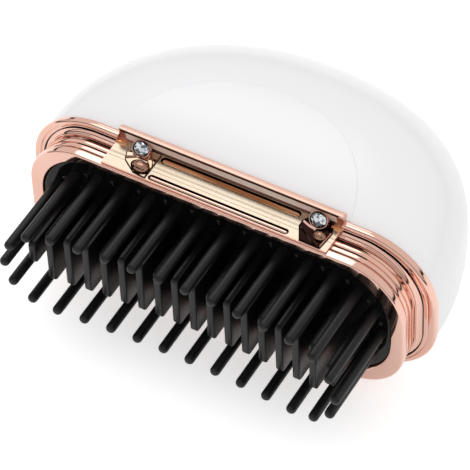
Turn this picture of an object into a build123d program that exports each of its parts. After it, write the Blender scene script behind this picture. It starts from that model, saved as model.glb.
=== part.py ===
from build123d import *
import math
import os

# Hair straightening brush, lying on its back: +X along the brush, -Y where the pins point, +Z out of the
# front face. Sizes are in millimetres. Heights run towards the dome, from a level just inside the pin tips.

# Pins and fins
pin_pitch = 6.9
pins_per_row = 10
pins_per_end = 5
pin_radius = 1.23
pin_tip_radius = 1.2
pin_tip_level = -0.85
plate_level = 21.35
pin_seat_depth = 1.5
row_half_spacing = 12.35
tip_curve_radius = 295.0
plate_curve_radius = 370.0
stud_radius = 0.8
stud_height = 0.5
stud_edge_radius = 0.4
fin_pitch = 4.6
fin_count = 18
fin_thickness = 1.8
fin_half_depth = 7.8
end_fin_half_depth = 3.4
fin_setback = 4.5
fin_corner_radius = 1.2
fin_seat_depth = 1.0

# Trim, as an outline and the bands stacked on it
trim_half_length = 48.7
trim_half_depth = 19.2
trim_corner = 14.4
opening_half_length = 45.8
opening_half_depth = 17.7
opening_corner = 15.2
lip_bottom = 18.3
lip_top = 20.8
lip_radius = 0.45
seam_height = 28.9
lip_bulge = 0.4
groove_height = 0.35
groove_depth = 0.35
lower_band_height = 1.1
upper_band_height = 1.2
upper_band_bulge = 0.15
deep_groove_height = 1.05
bead_height = 0.45
bead_bulge = 0.35
cove_height = 1.1
flange_half_length = 53.25
flange_half_depth = 21.4
flange_corner = 18.5
flange_radius = 0.9
lug_height = 2.2
lug_reach = 7.2
lug_length = 12.0

# Dome
dome_half_length = 52.2
dome_seam_half_depth = 20.9
dome_half_depth = 23.34
dome_height = 52.45
dome_bulge_rise = 15.1
dome_length_power = 2.24
dome_depth_power = 2.19
dome_seam_power = 3.59
dome_top_power = 2.13
dome_top_angle = 84.0
dome_steps = 8
oval_points = 36
shell_wall = 2.0
panel_radius = 31.4
panel_centre_height = 24.15
panel_shift = -1.0
panel_raise = 0.35
panel_depth = 0.9
pad_half_length = 26.0
pad_half_height = 11.0
pad_depth = 0.6
rest_depth = 24.04

# Buckle bar, clasps and stones
bar_half_length = 29.3
bar_bottom = 18.9
bar_back = 19.0
bar_face = 20.1
bar_top = 29.2
bar_flange_height = 2.2
bar_flange_back = 21.9
bar_flange_front = 23.45
bar_flange_edge = 0.4
bar_cove_radius = 0.25
bar_recess_half_length = 18.25
bar_recess_shift = 0.9
bar_recess_depth = 0.7
bar_upper_recess = (25.65, 2.1)
bar_lower_recess = (20.1, 1.7)
stone_offset = 23.1
stone_height = 25.65
stone_tilt = 35.0
stone_radius = 1.45
stone_depth = 0.9
stone_girdle = 0.36
stone_table_radius = 0.87
stone_facets = 12
bezel_radius = 2.0
bezel_depth = 1.7
bezel_stand = 1.35
bezel_sink = 1.1
bezel_edge = 0.2
clasp_half_width = 4.2
clasp_bottom = 20.4
clasp_top = 24.2
clasp_rise = 1.1
clasp_taper = 35.0

# Heater stack
heater_gap = 0.3
heater_thickness = 2.15
heater_half_length = 42.0
heater_half_depth = 10.6
heater_corner = 5.0
ptc_thickness = 2.0
ptc_length = 30.0
ptc_width = 13.0
ptc_spacing = 35.0
sheet_thickness = 0.5
sheet_length = 68.0
sheet_width = 15.0
clamp_thickness = 0.6
clamp_window_length = 18.0
clamp_window_width = 4.5
sensor_radius = 0.95
sensor_length = 4.0
fuse_radius = 1.2
fuse_length = 8.0
fuse_offset = 9.1
fuse_chamfer = 0.36
lead_radius = 0.6
lead_offset = 3.0
lead_run = 36.5
seal_height = 1.2
seal_width = 1.4

# Frame, board and battery
frame_thickness = 2.6
board_thickness = 1.6
board_stand = 0.5
board_left = -47.0
board_right = 40.0
board_half_width = 9.3
board_corner = 1.5
board_foot_radius = 1.2
board_foot_z = 6.5
tray_gap = 0.8
tray_thickness = 1.2
tray_half_length = 35.4
tray_half_width = 15.0
tray_wall = 1.7
tray_wall_height = 12.0
keel_length = 52.0
keel_width = 6.4
keel_height = 4.1
leg_radius = 2.4
leg_x = 30.0
leg_z = 13.4
leg_overlap = 0.3
cell_radius = 9.15
cell_length = 65.0
cell_gap = 0.6
cell_edge = 0.8
contact_thickness = 0.5
contact_size = 11.0
contact_tab = 3.0
post_radius = 2.6
post_x = 41.0
post_z = 12.3
post_length = 22.0
boss_radius = 2.2
boss_x = 16.0
boss_z = 13.9
standoff_x = 39.0
standoff_z = 7.2
standoff_radius = 1.8

# Chips on the board, each as x, z, length, width, height
main_chip = (-18.0, 2.0, 7.0, 7.0, 1.0)
charger_chip = (-4.0, -3.0, 5.0, 4.0, 1.0)
coil = (8.0, 3.0, 6.0, 6.0, 3.0)
switch_chip_rear = (20.0, -4.0, 5.0, 6.0, 1.6)
switch_chip_front = (20.0, 4.0, 5.0, 6.0, 1.6)
fuse_chip = (-28.0, -4.0, 4.0, 4.0, 1.2)
chip_corner = 0.3

# Screws
screw_radius = 1.0
screw_head_radius = 1.9
screw_head_height = 1.3
screw_bite = 5.0
screw_end_gap = 0.5
heater_screw_bite = 1.7

# Controls on the left end
button_radius = 4.2
button_height = 38.8
button_z = -6.0
button_face = 52.2
button_flange_radius = 4.9
button_flange_thickness = 0.8
button_flange_back = 46.0
button_edge_radius = 0.6
button_gap = 0.3
plunger_radius = 1.6
plunger_bore_depth = 2.2
plunger_length = 2.6
switch_front = 44.8
switch_length = 3.8
switch_height = 8.4
switch_width = 7.0
socket_z = 4.6
socket_width = 9.0
socket_height = 3.3
socket_length = 7.4
socket_corner = 1.6
socket_depth = 6.3
socket_wall = 0.35
socket_face = 50.9
tongue_width = 6.5
tongue_thickness = 0.7
tongue_length = 5.9
tongue_root = 0.7
light_radius = 0.9
light_height = 41.0
light_face = 51.4
led_x = -41.0
led_size = 1.6
led_height = 1.0

# Clearances
seat_gap = 0.05
close_gap = 0.2
hole_gap = 0.3
overcut = 1.0

os.makedirs("parts", exist_ok=True)

# Places that follow from the sizes
chips = (main_chip, charger_chip, coil, switch_chip_rear, switch_chip_front, fuse_chip)
end_arc_x = pin_pitch * (pins_per_row - 1) / 2
end_pin_x = end_arc_x + row_half_spacing
dome_top_rise = dome_height * math.sin(math.radians(dome_top_angle))
dome_top = seam_height + dome_top_rise
lowest_tip = pin_tip_level - end_pin_x**2 / (2 * tip_curve_radius)
mid_height = (lowest_tip + dome_top) / 2
mid_z = rest_depth
plate_back = plate_level + 2.0
heater_bottom = plate_back + heater_gap
heater_top = heater_bottom + heater_thickness
ptc_top = heater_top + ptc_thickness
sheet_top = ptc_top + sheet_thickness
frame_bottom = seam_height
frame_top = frame_bottom + frame_thickness
board_bottom = frame_top + board_stand
board_top = board_bottom + board_thickness
tallest_chip = max(chip[-1] for chip in chips)
tray_bottom = board_top + tallest_chip + tray_gap
tray_top = tray_bottom + tray_thickness
cell_height = tray_top + cell_radius
cell_z = cell_radius + cell_gap / 2
ends = (-1, 1)


def deck(height):
    """Plane across the brush at a height, facing the pins: its x is +X and its y is +Z."""
    return Plane(origin=(0, height - mid_height, mid_z), x_dir=(1, 0, 0), z_dir=(0, -1, 0))


def end_deck(distance, height, z):
    """Plane on the left end, facing out: its x is +Z and its y is +Y."""
    return Plane(origin=(-distance, height - mid_height, mid_z + z), x_dir=(0, 0, 1), z_dir=(-1, 0, 0))


def front_deck(height):
    """Plane at mid depth, facing the front: its x is +X and its y is +Y from the height."""
    return Plane(origin=(0, height - mid_height, mid_z), x_dir=(1, 0, 0), z_dir=(0, 0, 1))


def tip_sag(x):
    return x**2 / (2 * tip_curve_radius)


def plate_sag(x):
    return x**2 / (2 * plate_curve_radius)


def save(piece, name):
    piece.part.label = name
    export_step(piece.part, f"parts/{name}.step")


def slab(half_length, half_depth, corner, bottom, top, mode=Mode.ADD):
    """Rounded rectangle between two heights."""
    with BuildSketch(deck(top)) as outline:
        RectangleRounded(2 * half_length, 2 * half_depth, corner)
    return extrude(outline.sketch, amount=top - bottom, mode=mode)


def band(grow, bottom, top, mode=Mode.ADD):
    """Slab on the trim outline, grown by an amount."""
    return slab(trim_half_length + grow, trim_half_depth + grow, trim_corner + grow, bottom, top, mode)


def opening(grow, bottom, top, mode=Mode.ADD):
    """Slab on the outline of the plate opening, grown by an amount."""
    return slab(
        opening_half_length + grow, opening_half_depth + grow, opening_corner + grow, bottom, top, mode
    )


def pegs(places, radius, bottom, top, mode=Mode.ADD):
    """Round pegs between two heights at places given as (x, z)."""
    with BuildSketch(deck(top)) as dots:
        with Locations(*places):
            Circle(radius)
    return extrude(dots.sketch, amount=top - bottom, mode=mode)


def oval_face(height, half_length, half_depth, power):
    """Face of a superellipse at a height."""
    points = []
    for step in range(oval_points):
        turn = 2 * math.pi * step / oval_points
        along, across = math.cos(turn), math.sin(turn)
        reach = (abs(along) ** power + abs(across) ** power) ** (-1 / power)
        points.append((half_length * reach * along, half_depth * reach * across))
    with BuildSketch(deck(height)) as oval:
        with BuildLine():
            Spline(*points, periodic=True)
        make_face()
    return oval.sketch.face()


def dome(gap):
    """Solid dome with its surface a gap inside the outer one."""
    faces = []
    shrink_height = (dome_height - gap) / dome_height
    for step in range(dome_steps + 1):
        share = math.sin(math.radians(dome_top_angle * step / dome_steps))
        rise = dome_height * share
        length = (1 - share**dome_length_power) ** (1 / dome_length_power)
        if rise < dome_bulge_rise:
            lean = (dome_bulge_rise - rise) / dome_bulge_rise
            depth = dome_half_depth - (dome_half_depth - dome_seam_half_depth) * lean**2
        else:
            climb = (rise - dome_bulge_rise) / (dome_height - dome_bulge_rise)
            depth = dome_half_depth * (1 - climb**dome_depth_power) ** (1 / dome_depth_power)
        power = dome_seam_power + (dome_top_power - dome_seam_power) * share
        faces.append(
            oval_face(
                seam_height + rise * shrink_height,
                (dome_half_length - gap) * length,
                depth * (dome_half_depth - gap) / dome_half_depth,
                power,
            )
        )
    with BuildPart() as body:
        loft(faces)
    return body.part


def front_inlay(radius, outer_gap, inner_gap):
    """Round piece of the front skin between two depths."""
    outer = dome(outer_gap)
    inner = dome(inner_gap)
    with BuildPart() as skin:
        add(outer)
        add(inner, mode=Mode.SUBTRACT)
        with BuildSketch(front_deck(panel_centre_height)) as disc:
            with Locations((panel_shift, 0)):
                Circle(radius)
        extrude(amount=2 * dome_half_depth, mode=Mode.INTERSECT)
    return skin.part


def rear_plug(grow, inner_gap, reach):
    """Oval plug behind the rear skin, from the resting face in to a depth."""
    inner = dome(inner_gap)
    with BuildPart() as plug:
        with BuildSketch(front_deck(seam_height + dome_bulge_rise).offset(-reach)) as face:
            Ellipse(pad_half_length + grow, pad_half_height + grow)
        extrude(amount=reach - dome_seam_half_depth / 2)
        add(inner, mode=Mode.SUBTRACT)
    return plug.part


def ring_places(row_steps, end_angles):
    """Places (x, z) on the stadium path of the pins."""
    places = []
    for side in ends:
        for step in row_steps:
            places.append((step * pin_pitch, side * row_half_spacing))
        for angle in end_angles:
            turn = math.radians(angle)
            x = end_arc_x + row_half_spacing * math.cos(turn)
            places.append((side * x, row_half_spacing * math.sin(turn)))
    return places


def screws(places, seat, towards_pins, length):
    """Pan-head screws whose heads sit on a face at a height and whose shanks run away from them."""
    with BuildPart() as group:
        if towards_pins:
            pegs(places, screw_head_radius, seat, seat + screw_head_height)
            pegs(places, screw_radius, seat - length, seat)
        else:
            pegs(places, screw_head_radius, seat - screw_head_height, seat)
            pegs(places, screw_radius, seat, seat + length)
    return group


half_steps = [step - (pins_per_row - 1) / 2 for step in range(pins_per_row)]
whole_steps = [step - (pins_per_row - 2) / 2 for step in range(pins_per_row - 1)]
end_turn = 180 / (pins_per_end + 1)
pin_angles = [end_turn * (step + 1) - 90 for step in range(pins_per_end)]
stud_angles = [end_turn * (step + 0.5) - 90 for step in range(pins_per_end + 1)]
pin_places = ring_places(half_steps, pin_angles)
stud_places = ring_places(whole_steps, stud_angles)
post_places = [(sx * post_x, sz * post_z) for sx in ends for sz in ends]
boss_places = [(sx * boss_x, sz * boss_z) for sx in ends for sz in ends]
leg_places = [(sx * leg_x, sz * leg_z) for sx in ends for sz in ends]
standoff_places = [(sx * standoff_x, sz * standoff_z) for sx in ends for sz in ends]
fin_places = [(step - (fin_count - 1) / 2) * fin_pitch for step in range(fin_count)]


def fin_reach(x):
    """Half depth of the fin at x: the end fins are short, inside the end pins."""
    return end_fin_half_depth if abs(x) > fin_pitch * (fin_count / 2 - 1) else fin_half_depth


# Guard pins, round at the tip, pressed into the plate
with BuildPart() as guard_pins:
    for x, z in pin_places:
        tip = pin_tip_level - tip_sag(x)
        seat = plate_level - plate_sag(x) + pin_seat_depth
        with BuildSketch(deck(seat)) as foot:
            with Locations((x, z)):
                Circle(pin_radius)
        pin = extrude(foot.sketch, amount=seat - tip, mode=Mode.PRIVATE)
        end_edge = pin.edges().filter_by(GeomType.CIRCLE).sort_by(Axis.Y)[0]
        add(pin.fillet(pin_tip_radius, [end_edge]))
save(guard_pins, "guard_pins")

# Heating fins between the pin rows, their corners rounded, seated in slots of the heater base
with BuildPart() as heating_fins:
    for x in fin_places:
        tip = fin_setback - tip_sag(x)
        seat = heater_bottom + fin_seat_depth
        side = Plane(
            origin=(x - fin_thickness / 2, (tip + seat) / 2 - mid_height, mid_z),
            x_dir=(0, 1, 0),
            z_dir=(1, 0, 0),
        )
        with BuildSketch(side) as blade:
            Rectangle(seat - tip, 2 * fin_reach(x))
            fillet(blade.vertices().sort_by(Axis.Y)[:2], fin_corner_radius)
        extrude(amount=fin_thickness)
save(heating_fins, "heating_fins")

# Bristle plate: curved face, flat back, blind holes for the pins, slots for the fins, studs and bosses
with BuildPart() as bristle_plate:
    opening(-close_gap, lip_bottom - plate_sag(opening_half_length), plate_back)
    with BuildSketch(front_deck(plate_level).offset(-opening_half_depth)) as hollow:
        with Locations((0, -plate_curve_radius)):
            Circle(plate_curve_radius)
    extrude(amount=2 * opening_half_depth, mode=Mode.SUBTRACT)
    for x, z in pin_places:
        face = plate_level - plate_sag(x)
        pegs([(x, z)], pin_radius + seat_gap, face - overcut, face + pin_seat_depth, Mode.SUBTRACT)
    for x in fin_places:
        with BuildSketch(deck(plate_back)) as slot:
            with Locations((x, 0)):
                Rectangle(fin_thickness + 2 * close_gap, 2 * fin_reach(x) + 2 * close_gap)
        extrude(amount=plate_back, mode=Mode.SUBTRACT)
    for x, z in stud_places:
        face = plate_level - plate_sag(x)
        with BuildSketch(deck(face + stud_height)) as dot:
            with Locations((x, z)):
                Circle(stud_radius)
        stud = extrude(dot.sketch, amount=2 * stud_height, mode=Mode.PRIVATE)
        low_edge = stud.edges().filter_by(GeomType.CIRCLE).sort_by(Axis.Y)[0]
        add(stud.fillet(stud_edge_radius, [low_edge]))
    pegs(boss_places, boss_radius, plate_back, frame_bottom)
    pegs(boss_places, screw_radius, frame_bottom - screw_bite, frame_bottom, Mode.SUBTRACT)
save(bristle_plate, "bristle_plate")

# Seal lying on the back edge of the plate
with BuildPart() as plate_seal:
    opening(-seat_gap, plate_back, plate_back + seal_height)
    opening(-seal_width, plate_back, plate_back + seal_height, Mode.SUBTRACT)
save(plate_seal, "plate_seal")

def cut_bar_seat():
    """Seat of the buckle bar, cut into the front of a ring."""
    with BuildSketch(front_deck(bar_bottom - seat_gap).offset(bar_back - seat_gap)) as seat:
        Rectangle(2 * (bar_half_length + seat_gap), bar_top, align=(Align.CENTER, Align.MIN))
    extrude(seat.sketch, amount=flange_half_depth - bar_back + overcut, mode=Mode.SUBTRACT)


# Lip ring
with BuildPart() as lip_ring:
    band(lip_bulge, lip_bottom, lip_top)
    outer_edges = lip_ring.faces().sort_by(Axis.Y)[0].edges()
    fillet(outer_edges, lip_radius)
    opening(0, lip_bottom, lip_top, Mode.SUBTRACT)
    cut_bar_seat()
save(lip_ring, "lip_ring")

# Trim ring: bands and grooves stacked from the lip to the seam
lower_band_bottom = lip_top + groove_height
lower_band_top = lower_band_bottom + lower_band_height
upper_band_bottom = lower_band_top + groove_height
upper_band_top = upper_band_bottom + upper_band_height
bead_bottom = upper_band_top + deep_groove_height
bead_top = bead_bottom + bead_height
flange_bottom = bead_top + cove_height
with BuildPart() as trim_ring:
    band(-groove_depth, lip_top, seam_height)
    band(0, lower_band_bottom, lower_band_top)
    band(upper_band_bulge, upper_band_bottom, upper_band_top)
    band(bead_bulge, bead_bottom, bead_top)
    with BuildSketch(deck(bead_top)) as cove_foot:
        RectangleRounded(2 * trim_half_length, 2 * trim_half_depth, trim_corner)
    with BuildSketch(deck(flange_bottom)) as cove_head:
        RectangleRounded(
            trim_half_length + flange_half_length,
            trim_half_depth + flange_half_depth,
            (trim_corner + flange_corner) / 2,
        )
    loft([cove_foot.sketch.face(), cove_head.sketch.face()], ruled=True)
    flange = slab(
        flange_half_length, flange_half_depth, flange_corner, flange_bottom, seam_height, Mode.PRIVATE
    )
    rims = flange.edges().filter_by(Plane.XZ)
    add(flange.fillet(flange_radius, rims))
    opening(0, lip_top, seam_height, Mode.SUBTRACT)
    lugs = band(-groove_depth, seam_height - lug_height, seam_height, Mode.PRIVATE)
    with BuildSketch(deck(seam_height)) as lug_gap:
        RectangleRounded(
            2 * (trim_half_length - lug_reach),
            2 * (trim_half_depth - lug_reach),
            trim_corner - lug_reach,
        )
        Rectangle(2 * (trim_half_length - lug_length), 3 * trim_half_depth)
    lug_space = extrude(lug_gap.sketch, amount=lug_height, mode=Mode.PRIVATE)
    add(lugs - lug_space)
    pegs(post_places, screw_radius + seat_gap, seam_height - lug_height, seam_height, Mode.SUBTRACT)
    pegs(post_places, screw_head_radius + close_gap, plate_back, seam_height - lug_height, Mode.SUBTRACT)
    cut_bar_seat()
save(trim_ring, "trim_ring")

# Buckle bar: L section with a cove under its top flange and two long recesses in its face
bar_flange_bottom = bar_top - bar_flange_height
with BuildPart() as buckle_bar:
    section = Plane(
        origin=(-bar_half_length, -mid_height, mid_z),
        x_dir=(0, 1, 0),
        z_dir=(1, 0, 0),
    )
    with BuildSketch(section) as profile:
        with BuildLine():
            foot = Line((bar_bottom, bar_back), (bar_bottom, bar_face))
            wall = Line(foot @ 1, (bar_flange_bottom - bar_cove_radius, bar_face))
            cove = RadiusArc(
                wall @ 1, (bar_flange_bottom, bar_face + bar_cove_radius), bar_cove_radius
            )
            under = Line(cove @ 1, (bar_flange_bottom, bar_flange_front))
            front = Line(under @ 1, (bar_top, bar_flange_front))
            top = Line(front @ 1, (bar_top, bar_flange_back))
            step = Line(top @ 1, (seam_height - close_gap, bar_flange_back))
            shoulder = Line(step @ 1, (seam_height - close_gap, bar_back))
            Line(shoulder @ 1, foot @ 0)
        make_face()
    extrude(amount=2 * bar_half_length)
    flange_edges = buckle_bar.faces().sort_by(Axis.Z)[-1].edges()
    fillet(flange_edges, bar_flange_edge)
    for middle, recess_height in (bar_upper_recess, bar_lower_recess):
        with BuildSketch(front_deck(middle).offset(bar_face)) as recess:
            with Locations((bar_recess_shift, 0)):
                SlotOverall(2 * bar_recess_half_length, recess_height)
        extrude(amount=-bar_recess_depth, mode=Mode.SUBTRACT)
save(buckle_bar, "buckle_bar")


def stone_plane(side):
    """Plane of a stone, tilted from the front face towards the pins."""
    tilt = math.radians(stone_tilt)
    return Plane(
        origin=(side * stone_offset, stone_height - mid_height, mid_z + bar_face + bezel_stand),
        x_dir=(1, 0, 0),
        z_dir=(0, -math.sin(tilt), math.cos(tilt)),
    )


# Stones in round bezels over faceted triangular clasps, one of each at either end of the bar
for side, word in zip(ends, ("left", "right")):
    with BuildPart() as crystal:
        with BuildSketch(stone_plane(side)) as girdle:
            RegularPolygon(stone_radius, stone_facets)
        extrude(amount=stone_girdle)
        with BuildSketch(stone_plane(side).offset(stone_girdle)) as crown_foot:
            RegularPolygon(stone_radius, stone_facets)
        with BuildSketch(stone_plane(side).offset(stone_depth)) as table:
            RegularPolygon(stone_table_radius, stone_facets)
        loft([crown_foot.sketch.face(), table.sketch.face()], ruled=True)
    save(crystal, f"crystal_{word}")

    with BuildPart() as bezel:
        with BuildSketch(stone_plane(side).offset(-bezel_sink)) as cup:
            Circle(bezel_radius)
        extrude(amount=bezel_depth)
        rim = bezel.faces().sort_by(Axis.Z)[-1].edges()
        fillet(rim, bezel_edge)
        with BuildSketch(stone_plane(side)) as seat_hole:
            Circle(stone_radius + seat_gap)
        extrude(amount=bezel_depth, mode=Mode.SUBTRACT)
    bezel_solid = bezel.part

    with BuildPart() as clasp:
        with BuildSketch(front_deck(clasp_top).offset(bar_face + seat_gap)) as triangle:
            Polygon(
                (side * stone_offset - clasp_half_width, 0),
                (side * stone_offset, clasp_bottom - clasp_top),
                (side * stone_offset + clasp_half_width, 0),
                align=None,
            )
        extrude(amount=clasp_rise, taper=clasp_taper)
        add(bezel_solid, mode=Mode.SUBTRACT)
    save(clasp, f"clasp_{word}")

    with BuildPart() as seated_bezel:
        add(bezel_solid)
        add(buckle_bar.part, mode=Mode.SUBTRACT)
    save(seated_bezel, f"bezel_{word}")

# Shell: one-piece dome with pockets for the inlay and the pad, screw posts and the openings of its left end
inlay_pocket = front_inlay(panel_radius + seat_gap, -panel_raise - overcut, panel_depth + seat_gap)
pad_pocket = rear_plug(seat_gap, pad_depth + seat_gap, rest_depth + overcut)
outer_dome = dome(0)
inner_dome = dome(shell_wall)
mid_wall_dome = dome(shell_wall / 2)
with BuildPart() as posts:
    pegs(post_places, post_radius, frame_top, frame_top + post_length)
    add(mid_wall_dome, mode=Mode.INTERSECT)
with BuildPart() as shell:
    add(outer_dome)
    add(inner_dome, mode=Mode.SUBTRACT)
    add(posts.part)
    pegs(post_places, screw_radius, frame_top, frame_top + screw_bite, Mode.SUBTRACT)
    add(inlay_pocket, mode=Mode.SUBTRACT)
    add(pad_pocket, mode=Mode.SUBTRACT)
    with BuildSketch(end_deck(post_x, button_height, button_z)) as button_hole:
        Circle(button_radius + button_gap)
    extrude(amount=dome_half_length - post_x + overcut, mode=Mode.SUBTRACT)
    with BuildSketch(end_deck(post_x, board_top + socket_height / 2, socket_z)) as socket_hole:
        RectangleRounded(
            socket_width + 2 * hole_gap, socket_height + 2 * hole_gap, socket_height / 2
        )
    extrude(amount=dome_half_length - post_x + overcut, mode=Mode.SUBTRACT)
    with BuildSketch(end_deck(post_x, light_height, socket_z)) as light_hole:
        Circle(light_radius + seat_gap)
    extrude(amount=dome_half_length - post_x + overcut, mode=Mode.SUBTRACT)
save(shell, "shell")

with BuildPart() as front_panel:
    add(front_inlay(panel_radius, -panel_raise, panel_depth))
save(front_panel, "front_panel")

with BuildPart() as rear_panel:
    add(rear_plug(0, pad_depth, rest_depth))
save(rear_panel, "rear_panel")

# Heater base with slots for the fins in its underside
with BuildPart() as heater_base:
    slab(heater_half_length, heater_half_depth, heater_corner, heater_bottom, heater_top)
    with BuildSketch(deck(heater_bottom + fin_seat_depth)) as slots:
        for x in fin_places:
            with Locations((x, 0)):
                Rectangle(fin_thickness + 2 * seat_gap, 2 * (fin_reach(x) + seat_gap))
    extrude(amount=fin_seat_depth, mode=Mode.SUBTRACT)
    pegs(standoff_places, screw_radius, heater_bottom, heater_top, Mode.SUBTRACT)
save(heater_base, "heater_base")

with BuildPart() as ptc_heaters:
    with BuildSketch(deck(ptc_top)) as tiles:
        with GridLocations(ptc_spacing, 0, 2, 1):
            Rectangle(ptc_length, ptc_width)
    extrude(amount=ptc_thickness)
save(ptc_heaters, "ptc_heaters")

with BuildPart() as insulation_sheet:
    with BuildSketch(deck(sheet_top)) as sheet:
        Rectangle(sheet_length, sheet_width)
    extrude(amount=sheet_thickness)
save(insulation_sheet, "insulation_sheet")

with BuildPart() as heater_clamp:
    with BuildSketch(deck(sheet_top + clamp_thickness)) as plate:
        Rectangle(sheet_length, sheet_width)
        with GridLocations(ptc_spacing, 0, 2, 1):
            SlotOverall(clamp_window_length, clamp_window_width, mode=Mode.SUBTRACT)
    extrude(amount=clamp_thickness)
save(heater_clamp, "heater_clamp")

# Temperature sensor and fuse, lying on the heater base
with BuildPart() as thermistor:
    with BuildSketch(front_deck(heater_top + sensor_radius).offset(-sensor_length / 2)) as bead:
        Circle(sensor_radius)
    extrude(amount=sensor_length)
save(thermistor, "thermistor")

with BuildPart() as thermal_fuse:
    barrel_plane = Plane(
        origin=(-fuse_length / 2, heater_top + fuse_radius - mid_height, mid_z + fuse_offset),
        x_dir=(0, 1, 0),
        z_dir=(1, 0, 0),
    )
    with BuildSketch(barrel_plane) as barrel:
        Circle(fuse_radius)
    extrude(amount=fuse_length)
    chamfer(thermal_fuse.edges().filter_by(GeomType.CIRCLE), fuse_chamfer)
save(thermal_fuse, "thermal_fuse")

# Inner frame: plate on the trim's lugs, standoffs down to the heater base, feet up to the board
board_places = [(sx * leg_x, sz * board_foot_z) for sx in ends for sz in ends]
with BuildPart() as inner_frame:
    add(
        extrude(
            oval_face(
                frame_top,
                dome_half_length - shell_wall - hole_gap,
                (dome_seam_half_depth - shell_wall) - hole_gap,
                dome_seam_power,
            ),
            amount=frame_thickness,
        )
    )
    pegs(standoff_places, standoff_radius, heater_top, frame_bottom)
    pegs(board_places, board_foot_radius, frame_top, board_bottom)
    pegs(post_places, screw_radius + seat_gap, frame_bottom, frame_top, Mode.SUBTRACT)
    pegs(boss_places, screw_radius + seat_gap, frame_bottom, frame_top, Mode.SUBTRACT)
    pegs(leg_places, screw_radius + seat_gap, frame_bottom, frame_top, Mode.SUBTRACT)
    pegs(standoff_places, screw_radius + seat_gap, heater_top, frame_top, Mode.SUBTRACT)
    pegs(
        standoff_places,
        screw_head_radius + close_gap,
        frame_top - screw_head_height,
        frame_top,
        Mode.SUBTRACT,
    )
    with BuildSketch(deck(frame_top)) as lead_slot:
        with Locations((lead_run, 0)):
            Rectangle(3 * lead_radius, 2 * (lead_offset + 2 * lead_radius))
    extrude(amount=frame_thickness, mode=Mode.SUBTRACT)
save(inner_frame, "inner_frame")

# Heater leads from the heater's end up through the frame to the board
with BuildPart() as heater_leads:
    for side in ends:
        with BuildLine() as route:
            FilletPolyline(
                (
                    ptc_spacing / 2 + ptc_length / 2,
                    heater_top + ptc_thickness / 2 - mid_height,
                    mid_z + side * lead_offset,
                ),
                (lead_run, heater_top + ptc_thickness / 2 - mid_height, mid_z + side * lead_offset),
                (lead_run, board_bottom - mid_height, mid_z + side * lead_offset),
                radius=2.0,
            )
        with BuildSketch(Plane(origin=route.line @ 0, z_dir=(1, 0, 0))) as wire:
            Circle(lead_radius)
        sweep(wire.sketch, path=route.line)
save(heater_leads, "heater_leads")

# Control board and what is soldered to it
with BuildPart() as control_board:
    with BuildSketch(deck(board_top)) as outline:
        with Locations(((board_left + board_right) / 2, 0)):
            RectangleRounded(board_right - board_left, 2 * board_half_width, board_corner)
    extrude(amount=board_thickness)
save(control_board, "control_board")

with BuildPart() as board_chips:
    for x, z, length, width, height in chips:
        with BuildSketch(deck(board_top + height)) as case:
            with Locations((x, z)):
                RectangleRounded(length, width, chip_corner)
        extrude(amount=height)
save(board_chips, "board_chips")

# Battery tray on four legs, two cells side by side and their contact plates
with BuildPart() as battery_holder:
    with BuildSketch(deck(tray_top)) as floor:
        Rectangle(2 * tray_half_length, 2 * tray_half_width)
    extrude(amount=tray_thickness)
    with BuildSketch(deck(tray_top + tray_wall_height)) as walls:
        with GridLocations(2 * tray_half_length - tray_wall, 0, 2, 1):
            Rectangle(tray_wall, 2 * tray_half_width)
    extrude(amount=tray_wall_height)
    with BuildSketch(deck(tray_top + keel_height)) as keel:
        Rectangle(keel_length, keel_width)
    extrude(amount=keel_height)
    for side in ends:
        bed_plane = Plane(
            origin=(-tray_half_length + tray_wall, cell_height - mid_height, mid_z + side * cell_z),
            x_dir=(0, 1, 0),
            z_dir=(1, 0, 0),
        )
        with BuildSketch(bed_plane) as bed:
            Circle(cell_radius + seat_gap)
        extrude(amount=2 * (tray_half_length - tray_wall), mode=Mode.SUBTRACT)
    pegs(leg_places, leg_radius, frame_top, tray_bottom + leg_overlap)
    pegs(leg_places, screw_radius, frame_top, frame_top + screw_bite, Mode.SUBTRACT)
    with BuildSketch(deck(tray_top)) as tab_slots:
        with GridLocations(cell_length + contact_thickness, 2 * cell_z, 2, 2):
            Rectangle(contact_thickness + 2 * seat_gap, contact_tab + 2 * seat_gap)
    extrude(amount=tray_thickness, mode=Mode.SUBTRACT)
save(battery_holder, "battery_holder")

for side, word in zip(ends, ("rear", "front")):
    with BuildPart() as cell:
        can_plane = Plane(
            origin=(-cell_length / 2, cell_height - mid_height, mid_z + side * cell_z),
            x_dir=(0, 1, 0),
            z_dir=(1, 0, 0),
        )
        with BuildSketch(can_plane) as can:
            Circle(cell_radius)
        extrude(amount=cell_length)
        fillet(cell.edges().filter_by(GeomType.CIRCLE), cell_edge)
    save(cell, f"battery_cell_{word}")

with BuildPart() as battery_contacts:
    for end in ends:
        for side in ends:
            contact_plane = Plane(
                origin=(end * cell_length / 2, cell_height - mid_height, mid_z + side * cell_z),
                x_dir=(0, 1, 0),
                z_dir=(end, 0, 0),
            )
            with BuildSketch(contact_plane) as contact:
                Rectangle(contact_size, contact_size)
                Rectangle(
                    cell_height - board_top, contact_tab, align=(Align.MAX, Align.CENTER)
                )
            extrude(amount=contact_thickness)
save(battery_contacts, "battery_contacts")

# Side-push switch on the board, its plunger and the power button in the left end
switch_middle = board_top + switch_height / 2
with BuildPart() as tact_switch:
    with BuildSketch(end_deck(switch_front, switch_middle, button_z)) as case:
        Rectangle(switch_width, switch_height)
    extrude(amount=-switch_length)
    with BuildSketch(end_deck(switch_front, button_height, button_z)) as bore:
        Circle(plunger_radius + seat_gap)
    extrude(amount=-plunger_bore_depth, mode=Mode.SUBTRACT)
save(tact_switch, "tact_switch")

with BuildPart() as switch_plunger:
    with BuildSketch(end_deck(button_flange_back, button_height, button_z)) as stem:
        Circle(plunger_radius)
    extrude(amount=-plunger_length)
save(switch_plunger, "switch_plunger")

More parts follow.
